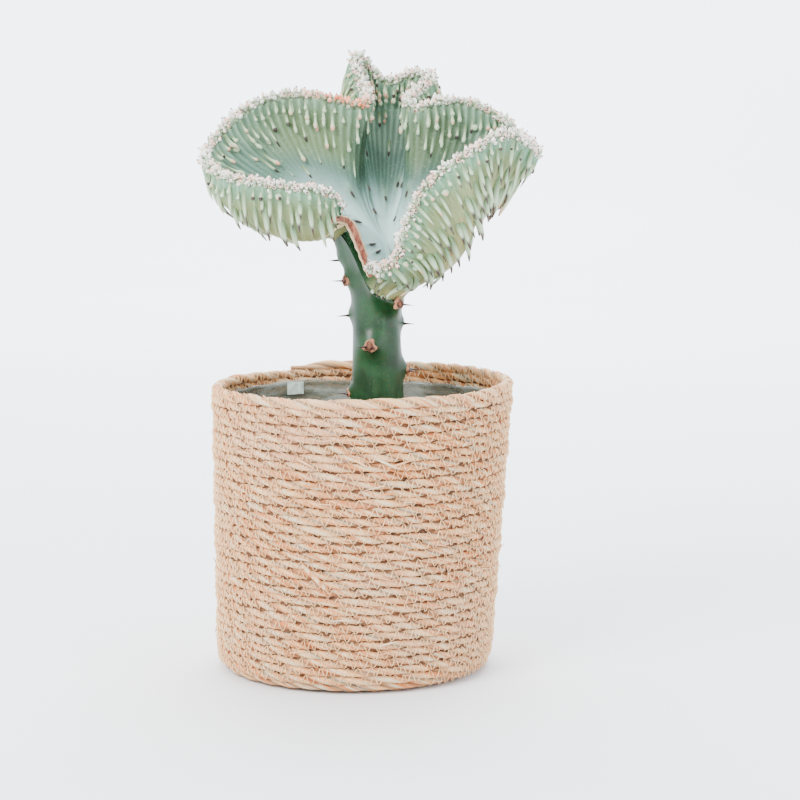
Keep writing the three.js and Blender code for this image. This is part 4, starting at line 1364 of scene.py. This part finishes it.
def scar_strip():
    """Flat oval carried along a smooth curve through the path points, tapering at both ends, and the stub."""
    keys = np.vstack([2 * SCAR_PATH[0] - SCAR_PATH[1], SCAR_PATH, 2 * SCAR_PATH[-1] - SCAR_PATH[-2]])
    path = closed_curve(keys, np.linspace(1, len(SCAR_PATH), 110))
    share = np.linspace(0, 1, len(path))
    phase = np.arange(SCAR_SIDES) * 2 * np.pi / SCAR_SIDES
    wide = np.interp(share, WIDTH_SHARE, HALF_WIDTH) + 0.2 * np.sin(share * 60)
    oval = 1 / np.sqrt((np.cos(phase) / HALF_THICKNESS) ** 2 + (np.sin(phase) / wide[:, None]) ** 2)
    strip = tubes(path[None], oval[None], np.array([0.25, -1.0, 0.15]), SCAR_SIDES)
    across = np.append(np.broadcast_to(np.abs(np.sin(phase)), oval.shape).ravel(), [1, 1])
    stub = tubes(STUB_PATH[None], STUB_RADII[None], np.array([0.3, 0.2, 1.0]), 8)
    return merged([(strip, {"border": across}), (stub, {"border": np.ones(len(stub[0]))})])


def healed_cork(w):
    """Pinkish brown cork with a paler border and fine dark cracks."""
    crack = w.noise(w.place().scaled((1, 1, 0.4)), 420.0, 4.0, 0.7)
    base = crack.step(0.38, 0.66).between(srgb(118, 58, 42), srgb(190, 122, 94))
    base = w.layer("border").step(0.75, 0.98).between(base, srgb(230, 200, 160))
    return {"Base Color": base, "Roughness": 0.8, "Normal": w.bump(crack, 0.0008)}


shape, layers = scar_strip()
scar = piece("graft_scar_strip", shape, finish("healed_cork", healed_cork), layers)
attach(scar, "root")
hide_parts("graft_scar")

# Film patch
# Small blank square of pale green-white plastic stuck on the film at the back left.
def pale_plastic(w):
    """Matt mint-white plastic with a faint crumple."""
    crumple = w.noise(w.place(), 260.0, 2.0)
    base = crumple.step(0.35, 0.7).between(srgb(176, 200, 188), srgb(222, 238, 230))
    return {"Base Color": base, "Roughness": 0.5, "Normal": w.bump(crumple, 0.0006)}


patch_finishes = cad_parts["film_patch"].data.materials
patch_finishes.clear()
patch_finishes.append(finish("pale_plastic", pale_plastic))

# Studio: pale floor that curves up into a backdrop, soft lights, camera
def studio_wall(w):
    """Pale paper, faintly uneven."""
    drift = w.noise(w.place(), 0.8, 2.0)
    base = drift.step(0.3, 0.7).between(srgb(232, 236, 241), srgb(240, 243, 247))
    return {"Base Color": base, "Roughness": 0.9}


FLOOR_Z = -0.05
# Radius and height: underside, rim and the curve down to the flat floor.
bowl = [(0, -60), (4200, -60), (4800, 1000), (4700, 1000)]
bowl += [(4300, 500), (3800, 130), (3200, 10), (2600, 0), (0, 0)]
bowl_shape = lathe([(radius, height + FLOOR_Z) for radius, height in bowl])
floor = piece("studio_floor", bowl_shape, finish("studio_paper", studio_wall))


def soft_light(name, place, aim, size, watts, colour):
    """Square lamp at a place, turned towards its aim."""
    lamp = bpy.data.lights.new(name, "AREA")
    lamp.size, lamp.energy, lamp.color = size, watts, colour
    made = bpy.data.objects.new(name, lamp)
    bpy.context.scene.collection.objects.link(made)
    place, aim = np.array(place), np.array(aim)
    back = unit(place - aim)
    made.location = place
    tilt, swing = math.acos(back[2]), math.atan2(back[1], back[0])
    made.rotation_euler = (tilt, 0, swing + math.pi / 2)


soft_light("window_light", (-1.1, -1.3, 1.5), (0, 0, 0.2), 1.0, 80, (1, 0.985, 0.96))
soft_light("fill_light", (1.5, -0.9, 0.9), (0, 0, 0.2), 1.2, 15, (0.94, 0.97, 1))
soft_light("top_light", (0.1, 0.5, 1.9), (0, 0, 0.2), 1.4, 28, (1, 1, 1))
soft_light("backdrop_light", (0, 2.7, 2.3), (0, 2.9, 0), 3.0, 380, (0.95, 0.98, 1))
world = bpy.data.worlds.new("studio_world")
bpy.context.scene.world = world
world.use_nodes = True
background = world.node_tree.nodes["Background"]
background.inputs["Color"].default_value = (0.93, 0.96, 1, 1)
background.inputs["Strength"].default_value = 1.8

CAMERA_PLACE = (0.0258, -1.25, 0.3103)
CAMERA_TILT = math.radians(90 - 7.364)  # 7.364 degrees down from level
FOCAL_LENGTH = 102.15
lens = bpy.data.cameras.new("camera")
camera = bpy.data.objects.new("camera", lens)
bpy.context.scene.collection.objects.link(camera)
bpy.context.scene.camera = camera
lens.sensor_width = 36
lens.lens = FOCAL_LENGTH
lens.clip_start = 0.01
camera.location = CAMERA_PLACE
camera.rotation_euler = (CAMERA_TILT, 0, 0)
